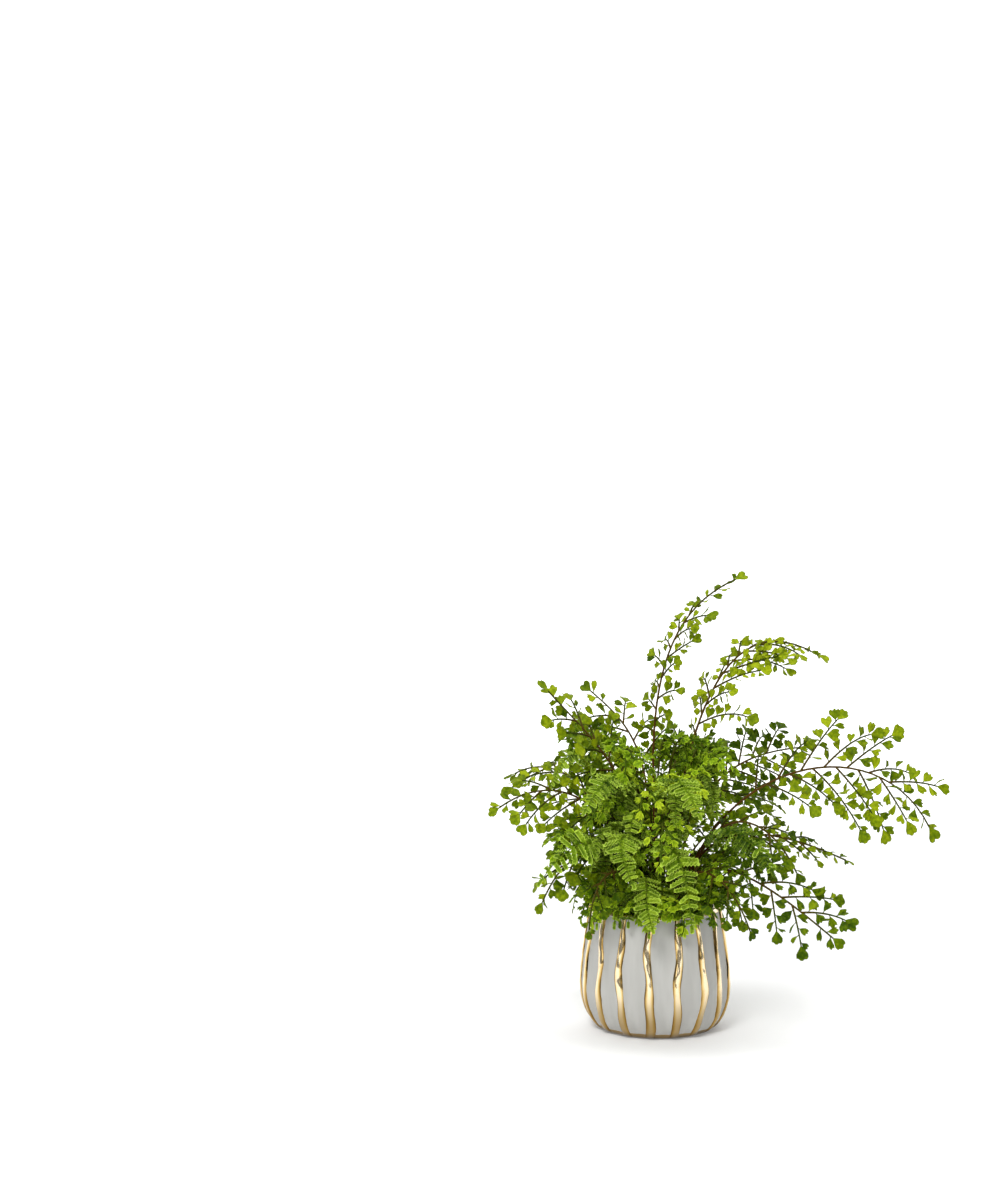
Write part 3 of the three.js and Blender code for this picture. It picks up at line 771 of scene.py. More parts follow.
@dataclass
class Pot:
    """A thick-walled ceramic pot, narrower at its mouth, with wandering ribs down its outside."""

    height: float = 101 * MM
    foot_radius: float = 42.5 * MM
    belly_radius: float = 62.5 * MM  # over the ribs, at belly_height
    belly_height: float = 38 * MM
    mouth_radius: float = 54.5 * MM  # over the ribs, at the top
    shoulder: float = 1.35  # the taper from belly to mouth steepens with this power of the height
    lip_round: float = 2.6 * MM
    inner_round: float = 1.4 * MM
    wall: float = 5.2 * MM
    floor: float = 8 * MM
    inner_stops: tuple[float, ...] = (0.09, 0.06, 0.038, 0.016)  # heights of the wall's inside, in metres
    ribs: int = 17
    relief: float = 2 * MM
    half_width: float = 4.0 * MM
    slimming: float = 0.36  # how much narrower a rib is at the mouth than at the belly
    bead: float = 2.3  # a rib's section falls away with this power of the way off its crest
    wander: float = 1.3 * MM
    hammer: float = 0.12 * MM  # how deep the dents on the ribs are
    panel_sink: float = 0.7 * MM
    first_rib: float = math.radians(-99.5)
    unevenness: float = math.radians(1.2)
    rib_columns: int = 14  # columns of faces over one rib
    panel_columns: int = 10  # and over one panel
    skirt: float = 1.15  # how far those of a rib reach, in half-widths
    bowl_rows: int = 40
    shoulder_rows: int = 59
    lip_rows: int = 7
    inner_rows: int = 5

    @property
    def columns(self) -> int:
        """The columns of faces from one rib's crest to the next."""
        return self.rib_columns + self.panel_columns

    @property
    def mouth_inside(self) -> float:
        """The radius inside the mouth."""
        return self.mouth_radius - self.relief - self.wall

    def above_belly(self, z: np.ndarray) -> np.ndarray:
        """How far up from the belly to the mouth a height is, from 0 to 1."""
        return np.clip((z - self.belly_height) / (self.height - self.belly_height), 0, 1)

    def rib_radius(self, z: np.ndarray) -> np.ndarray:
        """The radius over the ribs at a height: a quarter ellipse, then a slow taper to the mouth."""
        below = np.clip((self.belly_height - z) / self.belly_height, 0, 1)
        bowl = self.foot_radius + (self.belly_radius - self.foot_radius) * np.sqrt(1 - below**2)
        taper = (self.belly_radius - self.mouth_radius) * self.above_belly(z) ** self.shoulder
        return np.where(z < self.belly_height, bowl, self.belly_radius - taper)

    def rib_angle(self, rib: np.ndarray, z: np.ndarray) -> np.ndarray:
        """Where a rib's wandering line runs at a height, as an angle about the pot."""
        turn = math.tau * rib / self.ribs
        home = rib % self.ribs
        uneven = self.unevenness * (np.sin(2 * turn) + np.sin(3 * turn))
        stray = np.sin(z / (15 * MM) + 2.4 * home) + 0.5 * np.sin(z / (6.5 * MM) + 4.1 * home)
        return self.first_rib + turn + uneven + self.wander * stray / self.rib_radius(z)

    def rib_half(self, rib: np.ndarray, z: np.ndarray) -> np.ndarray:
        """Half a rib's uneven width at a height, as an angle about the pot."""
        home = rib % self.ribs
        swell = 1 + 0.11 * np.sin(z / (11 * MM) + 1.7 * home) + 0.08 * np.sin(z / (4.7 * MM) + 3 * home)
        slimming = 1 - self.slimming * self.above_belly(z)
        return self.half_width * swell * slimming / self.rib_radius(z)

    def profile(self) -> list[tuple[float, float]]:
        """The pot's section, from the middle of its foot over the lip to the middle of its floor."""
        bowl_out = self.belly_radius - self.foot_radius
        shoulder_end = self.height - self.lip_round
        edge, flat = float(self.rib_radius(shoulder_end)), self.mouth_radius - self.lip_round
        points = [(0.0, 0.0), (0.7 * self.foot_radius, 0.0)]
        for turn in quarter(self.bowl_rows):
            rise = self.belly_height * (1 - math.cos(turn))
            points.append((self.foot_radius + bowl_out * math.sin(turn), rise))
        for z in np.linspace(self.belly_height, shoulder_end, self.shoulder_rows + 1)[1:]:
            points.append((float(self.rib_radius(z)), float(z)))
        for turn in quarter(self.lip_rows)[1:]:
            rise = self.lip_round * math.sin(turn)
            points.append((blend(flat, edge, math.cos(turn)), shoulder_end + rise))
        for turn in quarter(self.inner_rows):
            drop = self.inner_round * (1 - math.cos(turn))
            points.append((self.mouth_inside + self.inner_round * (1 - math.sin(turn)), self.height - drop))
        for z in self.inner_stops:
            points.append((float(self.rib_radius(z)) - self.relief - self.wall, z))
        return [*points, (0.8 * self.foot_radius, self.floor), (0.0, self.floor)]

    def across_ribs(
        self, rib: np.ndarray, step: np.ndarray, z: np.ndarray
    ) -> tuple[np.ndarray, np.ndarray, np.ndarray]:
        """Where corners lie between the crest of one rib and that of the next.

        Args:
            rib: The number of the rib before each of them.
            step: How many columns it lies past that rib's crest.
            z: Its height.

        Returns:
            Its angle about the pot, how far it lies off the nearer crest, in half-widths, and how far into
            the hollow of a panel, from 0 to 1.
        """
        slope = self.rib_columns / 2
        near, far = self.rib_angle(rib, z), self.rib_angle(rib + 1, z)
        half_near, half_far = self.rib_half(rib, z), self.rib_half(rib + 1, z)
        off_near, off_far = self.skirt * step / slope, self.skirt * (self.columns - step) / slope
        panel_start, panel_end = near + self.skirt * half_near, far - self.skirt * half_far
        share = np.clip((step - slope) / self.panel_columns, 0, 1)
        on_panel = (step > slope) & (step < self.columns - slope)
        angle = np.where(step <= slope, near + off_near * half_near, far - off_far * half_far)
        angle = np.where(on_panel, panel_start + (panel_end - panel_start) * share, angle)
        hollow = np.where(on_panel, np.sin(np.pi * share), 0)
        return angle, np.where(on_panel, self.skirt + 2 * hollow, np.minimum(off_near, off_far)), hollow

    def with_ribs(self, corners: np.ndarray) -> tuple[np.ndarray, np.ndarray]:
        """Raise the ribs on the turned body.

        Args:
            corners: The body's corners, one to a row.

        Returns:
            Their new places, and how far each lies off a rib's crest, in half-widths.
        """
        radius, z = np.hypot(corners[:, 0], corners[:, 1]), corners[:, 2]
        turn = np.arctan2(corners[:, 1], corners[:, 0]) % math.tau
        column = np.round(turn / math.tau * self.ribs * self.columns)
        rib, step = np.divmod(column % (self.ribs * self.columns), self.columns)
        angle, off, hollow = self.across_ribs(rib, step, z)
        bead = np.clip(1 - off**self.bead, 0, 1) ** 0.9
        dents = self.hammer * np.sin(z / (5.3 * MM) + 5 * rib) * np.sin(z / (3.1 * MM) + 2 * rib)
        sink = self.relief * (1 - bead) + self.panel_sink * hollow
        at_lip = np.clip((radius - self.mouth_inside) / (self.wall + self.relief), 0, 1) ** 0.8
        outside = (radius > self.rib_radius(z) - 0.1 * MM) * 1.0
        fade = np.where(z > 0.9 * self.height, at_lip, outside)
        radius = radius - (sink - dents * bead) * fade * np.clip(z / (5 * MM), 0, 1)
        places = np.column_stack([radius * np.cos(angle), radius * np.sin(angle), z])
        return places, np.where(fade > 0, off, 3.0)

    def build(self) -> None:
        """Model the pot and put it in the place of its node."""
        piece = Bench.turned("pot_body", self.profile(), self.ribs * self.columns)
        places, off_crest = self.with_ribs(Bench.corners(piece))
        Bench.move(piece, places)
        give_grain(piece.data, np.outer(off_crest, (1, 0, 0)))
        dress(piece.data, PotFinish().material())
        seat(piece, Slot.POT, "pot")


# ---- Moss ----


@dataclass
class Moss:
    """A collar of curly moss round the plant's crown, with scattered curls inside it on the soil."""

    inner_radius: float = 29 * MM
    outer_radius: float = 46.6 * MM
    under: float = 91.3 * MM
    edge: float = 95.6 * MM
    crown: float = 2.4 * MM  # how far the collar's middle rises above its edges
    lump: float = 0.9 * MM
    bed: float = 91.7 * MM  # where the curls inside the collar lie
    curls: int = 2300
    curl_radius: tuple[float, float] = (1.3 * MM, 3.4 * MM)
    kinds: int = 6
    rows: int = 9
    columns: int = 120

    def share(self, radius: float) -> float:
        """How far a radius lies from the collar's inner edge to its outer one."""
        return (radius - self.inner_radius) / (self.outer_radius - self.inner_radius)

    def top(self, share: float, angle: float) -> float:
        """The height of the collar's lumpy top, at a share of the way from its inner to its outer edge."""
        lumps = self.lump * (math.sin(3 * angle + 9 * share) + math.cos(7 * angle - 5 * share))
        return self.edge + (self.crown + lumps) * math.sin(math.pi * held(share))

    def collar(self) -> Form:
        """The collar's own body, under its curls."""
        radii = [blend(self.inner_radius, self.outer_radius, i / self.rows) for i in range(self.rows + 1)]
        top = [(radius, self.edge) for radius in radii]
        under = [(self.outer_radius, self.under), (self.inner_radius, self.under)]
        corners, faces = Bench.cleared(Bench.turned("moss_collar", [*top, *under, top[0]], self.columns))
        for corner in corners:
            if corner[2] > self.under + MM:
                share = self.share(math.hypot(corner[0], corner[1]))
                corner[2] = self.top(share, math.atan2(corner[1], corner[0]))
        return Form(corners, faces, np.zeros((len(corners), 2)))

    def curl(self, draw: random.Random) -> Form:
        """One kind of curl: a short strand that turns on itself and rises a little."""
        turns, rise = draw.uniform(1.6, 3.6), draw.uniform(0.2, 0.7)
        points = []
        for i in range(4):
            turn, reach = turns * i / 3, 1 - 0.35 * i / 3
            height = rise * math.sin(math.pi * i / 3)
            points.append(Vector((reach * math.cos(turn), reach * math.sin(turn), height)))
        growth = Growth()
        line, up = Bend.through(*points), Vector((0, 0, 1))
        growth.wire(line, up, (0, 1), radii=(0.1, 0.05), ripeness=(0, 0), steps=7, sides=3, finish=0)
        return Form(growth.corners[0], growth.faces, growth.grain[0][:, :2])

    def build(self) -> None:
        """Model the moss and put it in the place of its node."""
        draw = random.Random(41)
        growth = Growth()
        growth.stamp(self.collar(), Matrix.Identity(4), 0.2)
        kinds = [self.curl(draw) for _ in range(self.kinds)]
        for _ in range(self.curls):
            radius, angle = self.outer_radius * math.sqrt(draw.uniform(0.01, 0.94)), draw.uniform(0, math.tau)
            share = self.share(radius)
            low = self.top(share, angle) if share > 0 else self.bed
            size = draw.uniform(*self.curl_radius)
            turn = Quaternion((0, 0, 1), draw.uniform(0, math.tau))
            turn = turn @ Quaternion((1, 0, 0), draw.uniform(-0.9, 0.9))
            height = low + draw.uniform(0, 0.3) * size
            at = Vector((radius * math.cos(angle), radius * math.sin(angle), height))
            place = Matrix.LocRotScale(at, turn, Vector((size, size, size)))
            patch = 0.5 + 0.5 * math.sin(2 * angle + 1.1)
            growth.stamp(draw.choice(kinds), place, held(draw.gauss(0.25 + 0.45 * patch, 0.2)))
        seat(growth.piece("moss_cushion", [MossFinish().material()]), Slot.MOSS, "moss")


# ---- Leaflets ----


@dataclass(frozen=True)
class FanLeaf:
    """A fan-shaped leaflet: its stalk's end is at the origin, its margin lies along +Y, its length is 1."""

    half_angle: float
    margin: tuple[float, ...]  # how far out points of the margin lie, from one side to the other
    cup: float = 0.16
    skin: float = 0.03
    cells: ClassVar[tuple[int, int]] = (8, 2)

    def form(self) -> Form:
        """Model the leaflet."""
        stops = np.linspace(-1, 1, len(self.margin))

        def place(across: np.ndarray, along: np.ndarray) -> np.ndarray:
            """Lay the grid out as a fan, cupped and a little waved."""
            out = (0.03 + 0.97 * along**0.9) * np.interp(across, stops, self.margin)
            angle = across * math.radians(self.half_angle)
            wave = 0.035 * np.sin(across * 7) * along + self.cup * (across**2 * along - 0.9 * along**2)
            return np.column_stack([out * np.sin(angle), out * np.cos(angle), wave])

        return Form.from_grid("fan_leaflet", self.cells, place, self.skin)


@dataclass(frozen=True)
class NarrowLeaf:
    """A narrow crinkled leaflet with a rounded end. Its root is at the origin, its length is 1 along +Y."""

    half_width: float = 0.14
    crinkle: float = 0.06
    fold: float = 0.07
    skin: float = 0.02
    cells: ClassVar[tuple[int, int]] = (2, 10)

    def form(self) -> Form:
        """Model the leaflet."""

        def place(across: np.ndarray, along: np.ndarray) -> np.ndarray:
            """Lay the grid out as a strip with a scalloped, crinkled margin."""
            row = np.round(along * self.cells[1])
            scallop = np.where(row % 2 == 1, 1.14, 0.88)
            shoulders = np.clip(0.5 + along / 0.16, 0, 1)
            end = np.sqrt(np.clip(1 - np.clip((along - 0.78) / 0.235, 0, 1) ** 2, 0, 1))
            half = self.half_width * scallop * shoulders * end
            lift = self.crinkle * np.where(row % 2 == 1, 1, -1) * np.abs(across)
            bow = self.fold * np.abs(across) - 0.1 * along**2
            return np.column_stack([across * half, along, lift + bow])

        return Form.from_grid("narrow_leaflet", self.cells, place, self.skin)


class Leaflets:
    """The kinds of leaflet, each modelled once."""

    def __init__(self) -> None:
        """Model them."""
        margins = [
            (40, (0.66, 0.88, 1.0, 0.96, 0.8, 0.98, 1.0, 0.86, 0.66)),
            (36, (0.68, 0.92, 0.82, 0.98, 1.04, 0.99, 0.8, 0.92, 0.68)),
            (32, (0.56, 0.78, 0.92, 0.84, 0.98, 1.04, 0.88, 0.96, 0.72)),
            (28, (0.64, 0.84, 0.96, 1.0, 0.9, 1.0, 0.95, 0.82, 0.62)),
            (42, (0.62, 0.86, 0.99, 0.86, 1.0, 0.84, 0.98, 0.92, 0.7)),
        ]
        ends = [
            (40, (0.74, 0.93, 1.02, 0.99, 0.85, 0.99, 1.03, 0.95, 0.74)),
            (43, (0.74, 0.93, 0.9, 1.0, 1.05, 1.0, 0.88, 0.95, 0.76)),
            (36, (0.7, 0.9, 1.0, 0.94, 1.03, 1.04, 0.93, 0.96, 0.74)),
        ]
        self.fans = [FanLeaf(*margin).form() for margin in margins]
        self.end_fans = [FanLeaf(*margin).form() for margin in ends]
        lobes = [
            (44, (0.6, 0.9, 0.64, 1.0, 0.7, 1.03, 0.66, 0.92, 0.6)),
            (38, (0.56, 0.84, 0.6, 0.96, 0.74, 1.05, 0.68, 0.98, 0.64)),
            (33, (0.6, 0.78, 0.66, 1.0, 0.7, 1.0, 0.62, 0.86, 0.58)),
        ]
        self.tufts = [FanLeaf(*margin, cup=0.3).form() for margin in lobes]
        self.strips = [NarrowLeaf(crinkle=crinkle).form() for crinkle in (0.05, -0.055)]


def leaf_place(root: Vector, ahead: Vector, up: Vector, sizes: Triple) -> Matrix:
    """Where a leaflet goes.

    Args:
        root: Its root.
        ahead: The way from its root to its end.
        up: The way that its upper face looks, roughly.
        sizes: Its width, its length and its depth, each beside those of its form.

    Returns:
        The matrix that puts it there.
    """
    ahead = ahead.normalized()
    across = ahead.cross(up).normalized()
    turn = Matrix((across, ahead, across.cross(ahead))).transposed().to_quaternion()
    return Matrix.LocRotScale(root, turn, Vector(sizes))


# ---- Fronds ----


@dataclass(frozen=True)
class Frond:
    """What both kinds of frond share: the route of the stem, and how the frond is turned about it."""

    side: float  # degrees about the line from its low point to its tip. At 0 its branches lie level
    bare: float  # the share of the stem below the first branch
    reach: float  # the length of the longest branches, in millimetres
    points: tuple[Sequence[float], ...]  # foot, low, high and tip, in millimetres; the foot has no height

    foot_height: ClassVar[float] = 62  # in millimetres
    stem_ends: ClassVar[tuple[float, float]] = (0.01, 1)  # the shares of the route where the stem's wire ends

    def corners(self) -> list[Vector]:
        """The four points that the stem passes."""
        foot, *others = self.points
        return [Vector((*foot, self.foot_height)) * MM, *(Vector(point) * MM for point in others)]

    def route(self) -> Bend:
        """The stem's line."""
        return Bend.through(*self.corners())

    def left(self) -> Vector:
        """The way to the frond's left: level, then turned about the line from its low point to its tip."""
        _, low, _, tip = self.corners()
        line = (tip - low).normalized()
        level = Vector((0, 0, 1)).cross(line).normalized()
        return Quaternion(line, math.radians(self.side)) @ level


@dataclass(frozen=True)
class MaidenSpray(Frond):
    """A maidenhair spray: a wiry stem with side branches, which carry fan-shaped leaflets in turn."""

    branches: int = 6
    balance: tuple[float, float] = (1.0, 1.0)  # how long the branches on the left and the right are
    tone: float = 0.5  # of its leaflets, from dark to light; dark tones on sprays that stand in shade are painted shade
    leaf_length: float = 10.4  # in millimetres
    pitch: float = 5.3  # between one leaflet and the next, in millimetres
    lobed: bool = False  # whether its leaflets are deeply cut, as a young spray's are
    mottle: float = 0.26  # how much its leaflets' tones stray

    stem_end: ClassVar[float] = 0.86  # the share of the stem that its side branches reach up to
    more_branches: ClassVar[float] = 1.85  # how many branches the spray has, beside its solid's number
    splay: ClassVar[float] = math.radians(54)  # between the lowest branches and the stem
    splay_loss: ClassVar[float] = 0.3  # how much less it is for the highest ones
    sag: ClassVar[float] = 0.2
    leaf_splay: ClassVar[float] = math.radians(60)
    leaf_lift: ClassVar[tuple[float, float]] = (-0.25, 0.3)
    leaf_roll: ClassVar[float] = 0.7  # how far leaflets turn about their own length, in radians
    leaf_sizes: ClassVar[tuple[float, float]] = (0.74, 1.14)
    leaf_widths: ClassVar[tuple[float, float]] = (0.82, 1.06)
    end_sizes: ClassVar[tuple[float, float]] = (0.95, 1.18)
    stalk: ClassVar[float] = 1.3 * MM
    stalk_radii: ClassVar[tuple[float, float]] = (0.5 * MM, 0.36 * MM)
    stem_radii: ClassVar[tuple[float, float]] = (1.15 * MM, 0.7 * MM)
    wire_radii: ClassVar[tuple[float, float]] = (0.92 * MM, 0.62 * MM)

    @staticmethod
    def branch_length(share: float) -> float:
        """A branch's length as a share of the reach: longest a little below the middle."""
        return 0.6 + 0.4 * math.sin(math.pi * (0.2 + 0.7 * share))

    def leafy(
        self,
        growth: Growth,
        line: Bend,
        left: Vector,
        first: int,
        draw: random.Random,
        kit: Leaflets,
    ) -> None:
        """Set leaflets along a line, on one side and the other in turn, and one at its end.

        Args:
            growth: What they are added to.
            line: The branch, or the stem's end.
            left: The way to its left.
            first: The side of the first leaflet: 1 is the left and -1 the right.
            draw: Where chance comes from.
            kit: The kinds of leaflet.
        """
        fans, end_fans = (kit.tufts, kit.tufts) if self.lobed else (kit.fans, kit.end_fans)
        count = max(2, round(line.length() / (self.pitch * MM)))
        for i in range(count):
            share = (i + 0.8) / (count + 0.35)
            axes = line.axes(share, left)
            side = -first if i % 2 else first
            splay = self.leaf_splay * draw.uniform(0.8, 1.15) * blend(1.05, 0.8, share)
            out = axes.ahead * math.cos(splay) + axes.left * side * math.sin(splay)
            out = (out + axes.up * draw.uniform(*self.leaf_lift)).normalized()
            up = Quaternion(out, draw.gauss(0, self.leaf_roll)) @ axes.up
            root = axes.at + out * self.stalk
            stalk = Bend([axes.at, root + out * MM])
            growth.wire(stalk, axes.up, (0, 1), self.stalk_radii, ripeness=(0, 0), steps=1, sides=3)
            size = self.leaf_length * MM * draw.uniform(*self.leaf_sizes) * blend(1.05, 0.85, share)
            flip = draw.choice((-1, 1))
            place = leaf_place(root, out, up * flip, (size * draw.uniform(*self.leaf_widths), size, size))
            growth.stamp(draw.choice(fans), place, held(draw.gauss(self.tone, self.mottle)))
        axes = line.axes(1, left)
        size = self.leaf_length * MM * draw.uniform(*self.end_sizes)
        up = Quaternion(axes.ahead, draw.uniform(-0.4, 0.4)) @ axes.up
        place = leaf_place(axes.at - axes.ahead * 0.3 * MM, axes.ahead, up, (size, size, size))
        growth.stamp(draw.choice(end_fans), place, held(draw.gauss(self.tone + 0.05, 0.12)))

    def grown(self, seed: int, kit: Leaflets) -> Growth:
        """Model the spray.

        Args:
            seed: Where its chance begins.
            kit: The kinds of leaflet.

        Returns:
            Its wires and leaflets.
        """
        draw = random.Random(seed)
        growth = Growth()
        route, left = self.route(), self.left()
        growth.wire(route, left, self.stem_ends, self.stem_radii, ripeness=(1.0, 0.3), steps=30, sides=6)
        end = Bend([route.at(blend(self.stem_end, 1, share)) for share in (0, 0.5, 1)])
        self.leafy(growth, end, left, 1, draw, kit)
        number = round(self.branches * self.more_branches)
        for i in range(number):
            share = i / number
            stem = route.axes(blend(self.bare, self.stem_end, share), left)
            side = -1 if i % 2 else 1
            splay = self.splay * (1 - self.splay_loss * share) * draw.uniform(0.85, 1.15)
            heading = stem.ahead * math.cos(splay) + stem.left * side * math.sin(splay)
            heading = Quaternion(stem.ahead, draw.uniform(-0.4, 0.4)) @ heading
            length = self.reach * MM * self.branch_length(share) * draw.uniform(0.68, 1.1)
            length *= self.balance[i % 2]
            sag = self.sag * length * draw.uniform(0.4, 1.5)
            sunken = stem.at + heading * (0.95 * length) - Vector((0, 0, sag))
            line = Bend([stem.at, stem.at + heading * (0.55 * length), sunken])
            branch_left = stem.up.cross(heading).normalized()
            growth.wire(line, branch_left, (0, 1), self.wire_radii, ripeness=(0.55, 0.0), steps=9)
            self.leafy(growth, line, branch_left, side, draw, kit)
        return growth


@dataclass(frozen=True)
class SwordFrond(Frond):
    """A small sword-fern frond: a wiry stem with a row of narrow crinkled leaflets down either side."""

    pitch: float = 7.0  # between one pair of leaflets and the next, in millimetres
    tone: float = 0.5  # of its leaflets, from dark to light

    mottle: ClassVar[float] = 0.2  # how much its leaflets' tones stray
    lean: ClassVar[float] = 0.28  # how far its leaflets point towards its tip
    fill: ClassVar[float] = 2.3  # how wide the form is drawn, in pitches
    leaf_roll: ClassVar[float] = 0.45
    leaf_sizes: ClassVar[tuple[float, float]] = (0.78, 1.08)
    stem_radii: ClassVar[tuple[float, float]] = (0.95 * MM, 0.35 * MM)

    def grown(self, seed: int, kit: Leaflets) -> Growth:
        """Model the frond.

        Args:
            seed: Where its chance begins.
            kit: The kinds of leaflet.

        Returns:
            Its wires and leaflets.
        """
        draw = random.Random(seed)
        growth = Growth()
        route, left = self.route(), self.left()
        growth.wire(route, left, self.stem_ends, self.stem_radii, ripeness=(0.9, 0.1), steps=34, sides=6)
        pairs = round(route.length() * (1 - self.bare) / (self.pitch * MM))
        for i in range(pairs):
            share = 1 - (1 - (i + 0.7) / (pairs + 0.4)) ** 1.2
            widening = min(1, 0.55 + 2.2 * share)
            narrowing = min(1, 1.75 * (1.12 - share)) ** 0.8
            axes = route.axes(blend(self.bare, 1, share), left)
            for side in (1, -1):
                length = self.reach * MM * widening * narrowing * draw.uniform(*self.leaf_sizes)
                out = axes.left * side + axes.ahead * (self.lean + draw.uniform(-0.3, 0.3))
                out = (out.normalized() - axes.up * draw.uniform(-0.15, 0.6)).normalized()
                up = Quaternion(out, draw.gauss(0, self.leaf_roll)) @ axes.up
                width = self.fill * self.pitch * MM * (0.45 + 0.55 * narrowing) * draw.uniform(0.8, 1.05)
                place = leaf_place(axes.at, out, up, (width, length * 1.04, length))
                growth.stamp(draw.choice(kit.strips), place, held(draw.gauss(self.tone, self.mottle)))
        axes = route.axes(1, left)
        end_length = self.pitch * MM
        root = axes.at - axes.ahead * 0.3 * end_length
        place = leaf_place(root, axes.ahead, axes.up, (1.8 * end_length, end_length, end_length))
        growth.stamp(kit.strips[0], place, self.tone)
        return growth


# The long fronds, in the order of the solids that they stand for. The stems pass the same four points as
# those of the solids, but for the high point of the second spray and the end of the fourth sword-fern frond.
SPRAYS = [
    MaidenSpray(
        side=26, bare=0.5, reach=31, points=((2, 4), (-1, 10, 182), (8, 18, 295), (68, 25, 368)),
        branches=7, balance=(0.65, 1.0), tone=0.6, leaf_length=9.4, pitch=4.4,
    ),
    MaidenSpray(
        side=25, bare=0.5, reach=52, points=((8, 2), (19, 8, 178), (56, 14, 290), (134, 6, 306)),
        branches=8, balance=(0.5, 1.15), tone=0.84, leaf_length=9.4, pitch=4.5,
    ),
    MaidenSpray(
        side=66, bare=0.42, reach=50, points=((14, -3), (60, -5, 178), (148, -15, 216), (220, -25, 168)),
        branches=7, balance=(1.22, 1.05), tone=0.58, leaf_length=10.8, pitch=5.5,
    ),
    # This spray stands behind the others, and its dark tone is painted shade.
    MaidenSpray(
        side=60, bare=0.46, reach=42, points=((11, 8), (32, 35, 160), (74, 65, 207), (138, 98, 220)),
        balance=(1.25, 1), tone=-0.05, pitch=5.0,
    ),
    MaidenSpray(
        side=15, bare=0.44, reach=30, points=((15, 3), (41, 8, 143), (97, 10, 156), (157, 0, 137)),
        tone=0.45, leaf_length=7.6, pitch=4.8,
    ),
    MaidenSpray(
        side=58, bare=0.42, reach=46, points=((15, -8), (36, -28, 134), (88, -55, 122), (134, -75, 88)),
        branches=5, balance=(1, 0.75), tone=0.12, leaf_length=10.2, pitch=6.2,
    ),
    MaidenSpray(
        side=30, bare=0.46, reach=32, points=((5, -18), (16, -37, 123), (40, -74, 137), (66, -95, 98)),
        branches=3, tone=0.1, leaf_length=8.4, pitch=4.8,
    ),
    MaidenSpray(
        side=-40, bare=0.46, reach=44, points=((-4, 8), (-4, 22, 178), (-18, 42, 236), (-51, 60, 272)),
        branches=4,
    ),
    MaidenSpray(
        side=-50, bare=0.45, reach=44, points=((-8, 3), (-16, 0, 169), (-48, -6, 232), (-89, -12, 278)),
        branches=5, tone=0.52,
    ),
    MaidenSpray(
        side=-45, bare=0.44, reach=42, points=((-14, -2), (-26, -5, 145), (-69, -15, 193), (-129, -25, 184)),
        branches=5, tone=0.55,
    ),
    MaidenSpray(
        side=-30, bare=0.44, reach=42, points=((-12, 8), (-28, 35, 145), (-66, 70, 196), (-115, 105, 196)),
        branches=5, tone=0.42,
    ),
    MaidenSpray(
        side=-35, bare=0.44, reach=34, points=((-16, -7), (-31, -15, 126), (-62, -28, 145), (-94, -40, 110)),
        branches=3, tone=0.45,
    ),
    MaidenSpray(
        side=0, bare=0.44, reach=42, points=((0, 14), (4, 45, 154), (1, 95, 181), (-2, 142, 147)),
        branches=5,
    ),
    MaidenSpray(
        side=10, bare=0.44, reach=42, points=((8, 14), (28, 40, 146), (68, 90, 178), (115, 130, 154)),
        branches=5, tone=0.4,
    ),
    MaidenSpray(
        side=-10, bare=0.44, reach=42, points=((-8, 14), (-18, 42, 146), (-41, 92, 169), (-75, 130, 128)),
        branches=5, tone=0.45,
    ),
    MaidenSpray(
        side=-25, bare=0.46, reach=20, points=((-9, -15), (-21, -33, 124), (-44, -58, 134), (-58, -74, 94)),
        branches=4, tone=0.05, leaf_length=7.6, pitch=4.6,
    ),
    MaidenSpray(
        side=40, bare=0.46, reach=36, points=((19, -1), (38, -14, 150), (74, -28, 172), (110, -42, 134)),
        branches=3, tone=0.18, leaf_length=9.2, pitch=5.0,
    ),
]

SWORDS = [
    SwordFrond(
        side=-20, bare=0.42, reach=15, points=((-5, -8), (-14, -30, 141), (-32, -76, 168), (-26, -114, 137)),
        pitch=5.5,
    ),
    SwordFrond(
        side=-30, bare=0.44, reach=18, points=((-16, -13), (-28, -29, 128), (-56, -54, 160), (-96, -70, 132)),
        pitch=7.5,
    ),
    SwordFrond(
        side=0, bare=0.4, reach=17, points=((3, -10), (0, -38, 138), (9, -80, 157), (20, -104, 102)),
        tone=0.55,
    ),
    SwordFrond(
        side=0, bare=0.48, reach=12, points=((-4, -19), (-9, -40, 126), (-13, -72, 126), (-9, -87, 97)),
        pitch=5.5, tone=0.7,
    ),
    SwordFrond(
        side=-20, bare=0.42, reach=15, points=((-8, -3), (-14, -22, 168), (-34, -62, 212), (-63, -105, 192)),
        pitch=5.5, tone=0.45,
    ),
    SwordFrond(
        side=0, bare=0.42, reach=16, points=((2, -4), (2, -30, 169), (8, -75, 212), (24, -120, 191)),
        pitch=6.0,
    ),
    SwordFrond(
        side=15, bare=0.42, reach=17, points=((9, -12), (26, -40, 150), (54, -74, 172), (82, -102, 145)),
        tone=0.0,
    ),
    SwordFrond(
        side=0, bare=0.42, reach=17, points=((5, 9), (14, 35, 168), (38, 78, 214), (66, 120, 200)),
        tone=0.3,
    ),
]


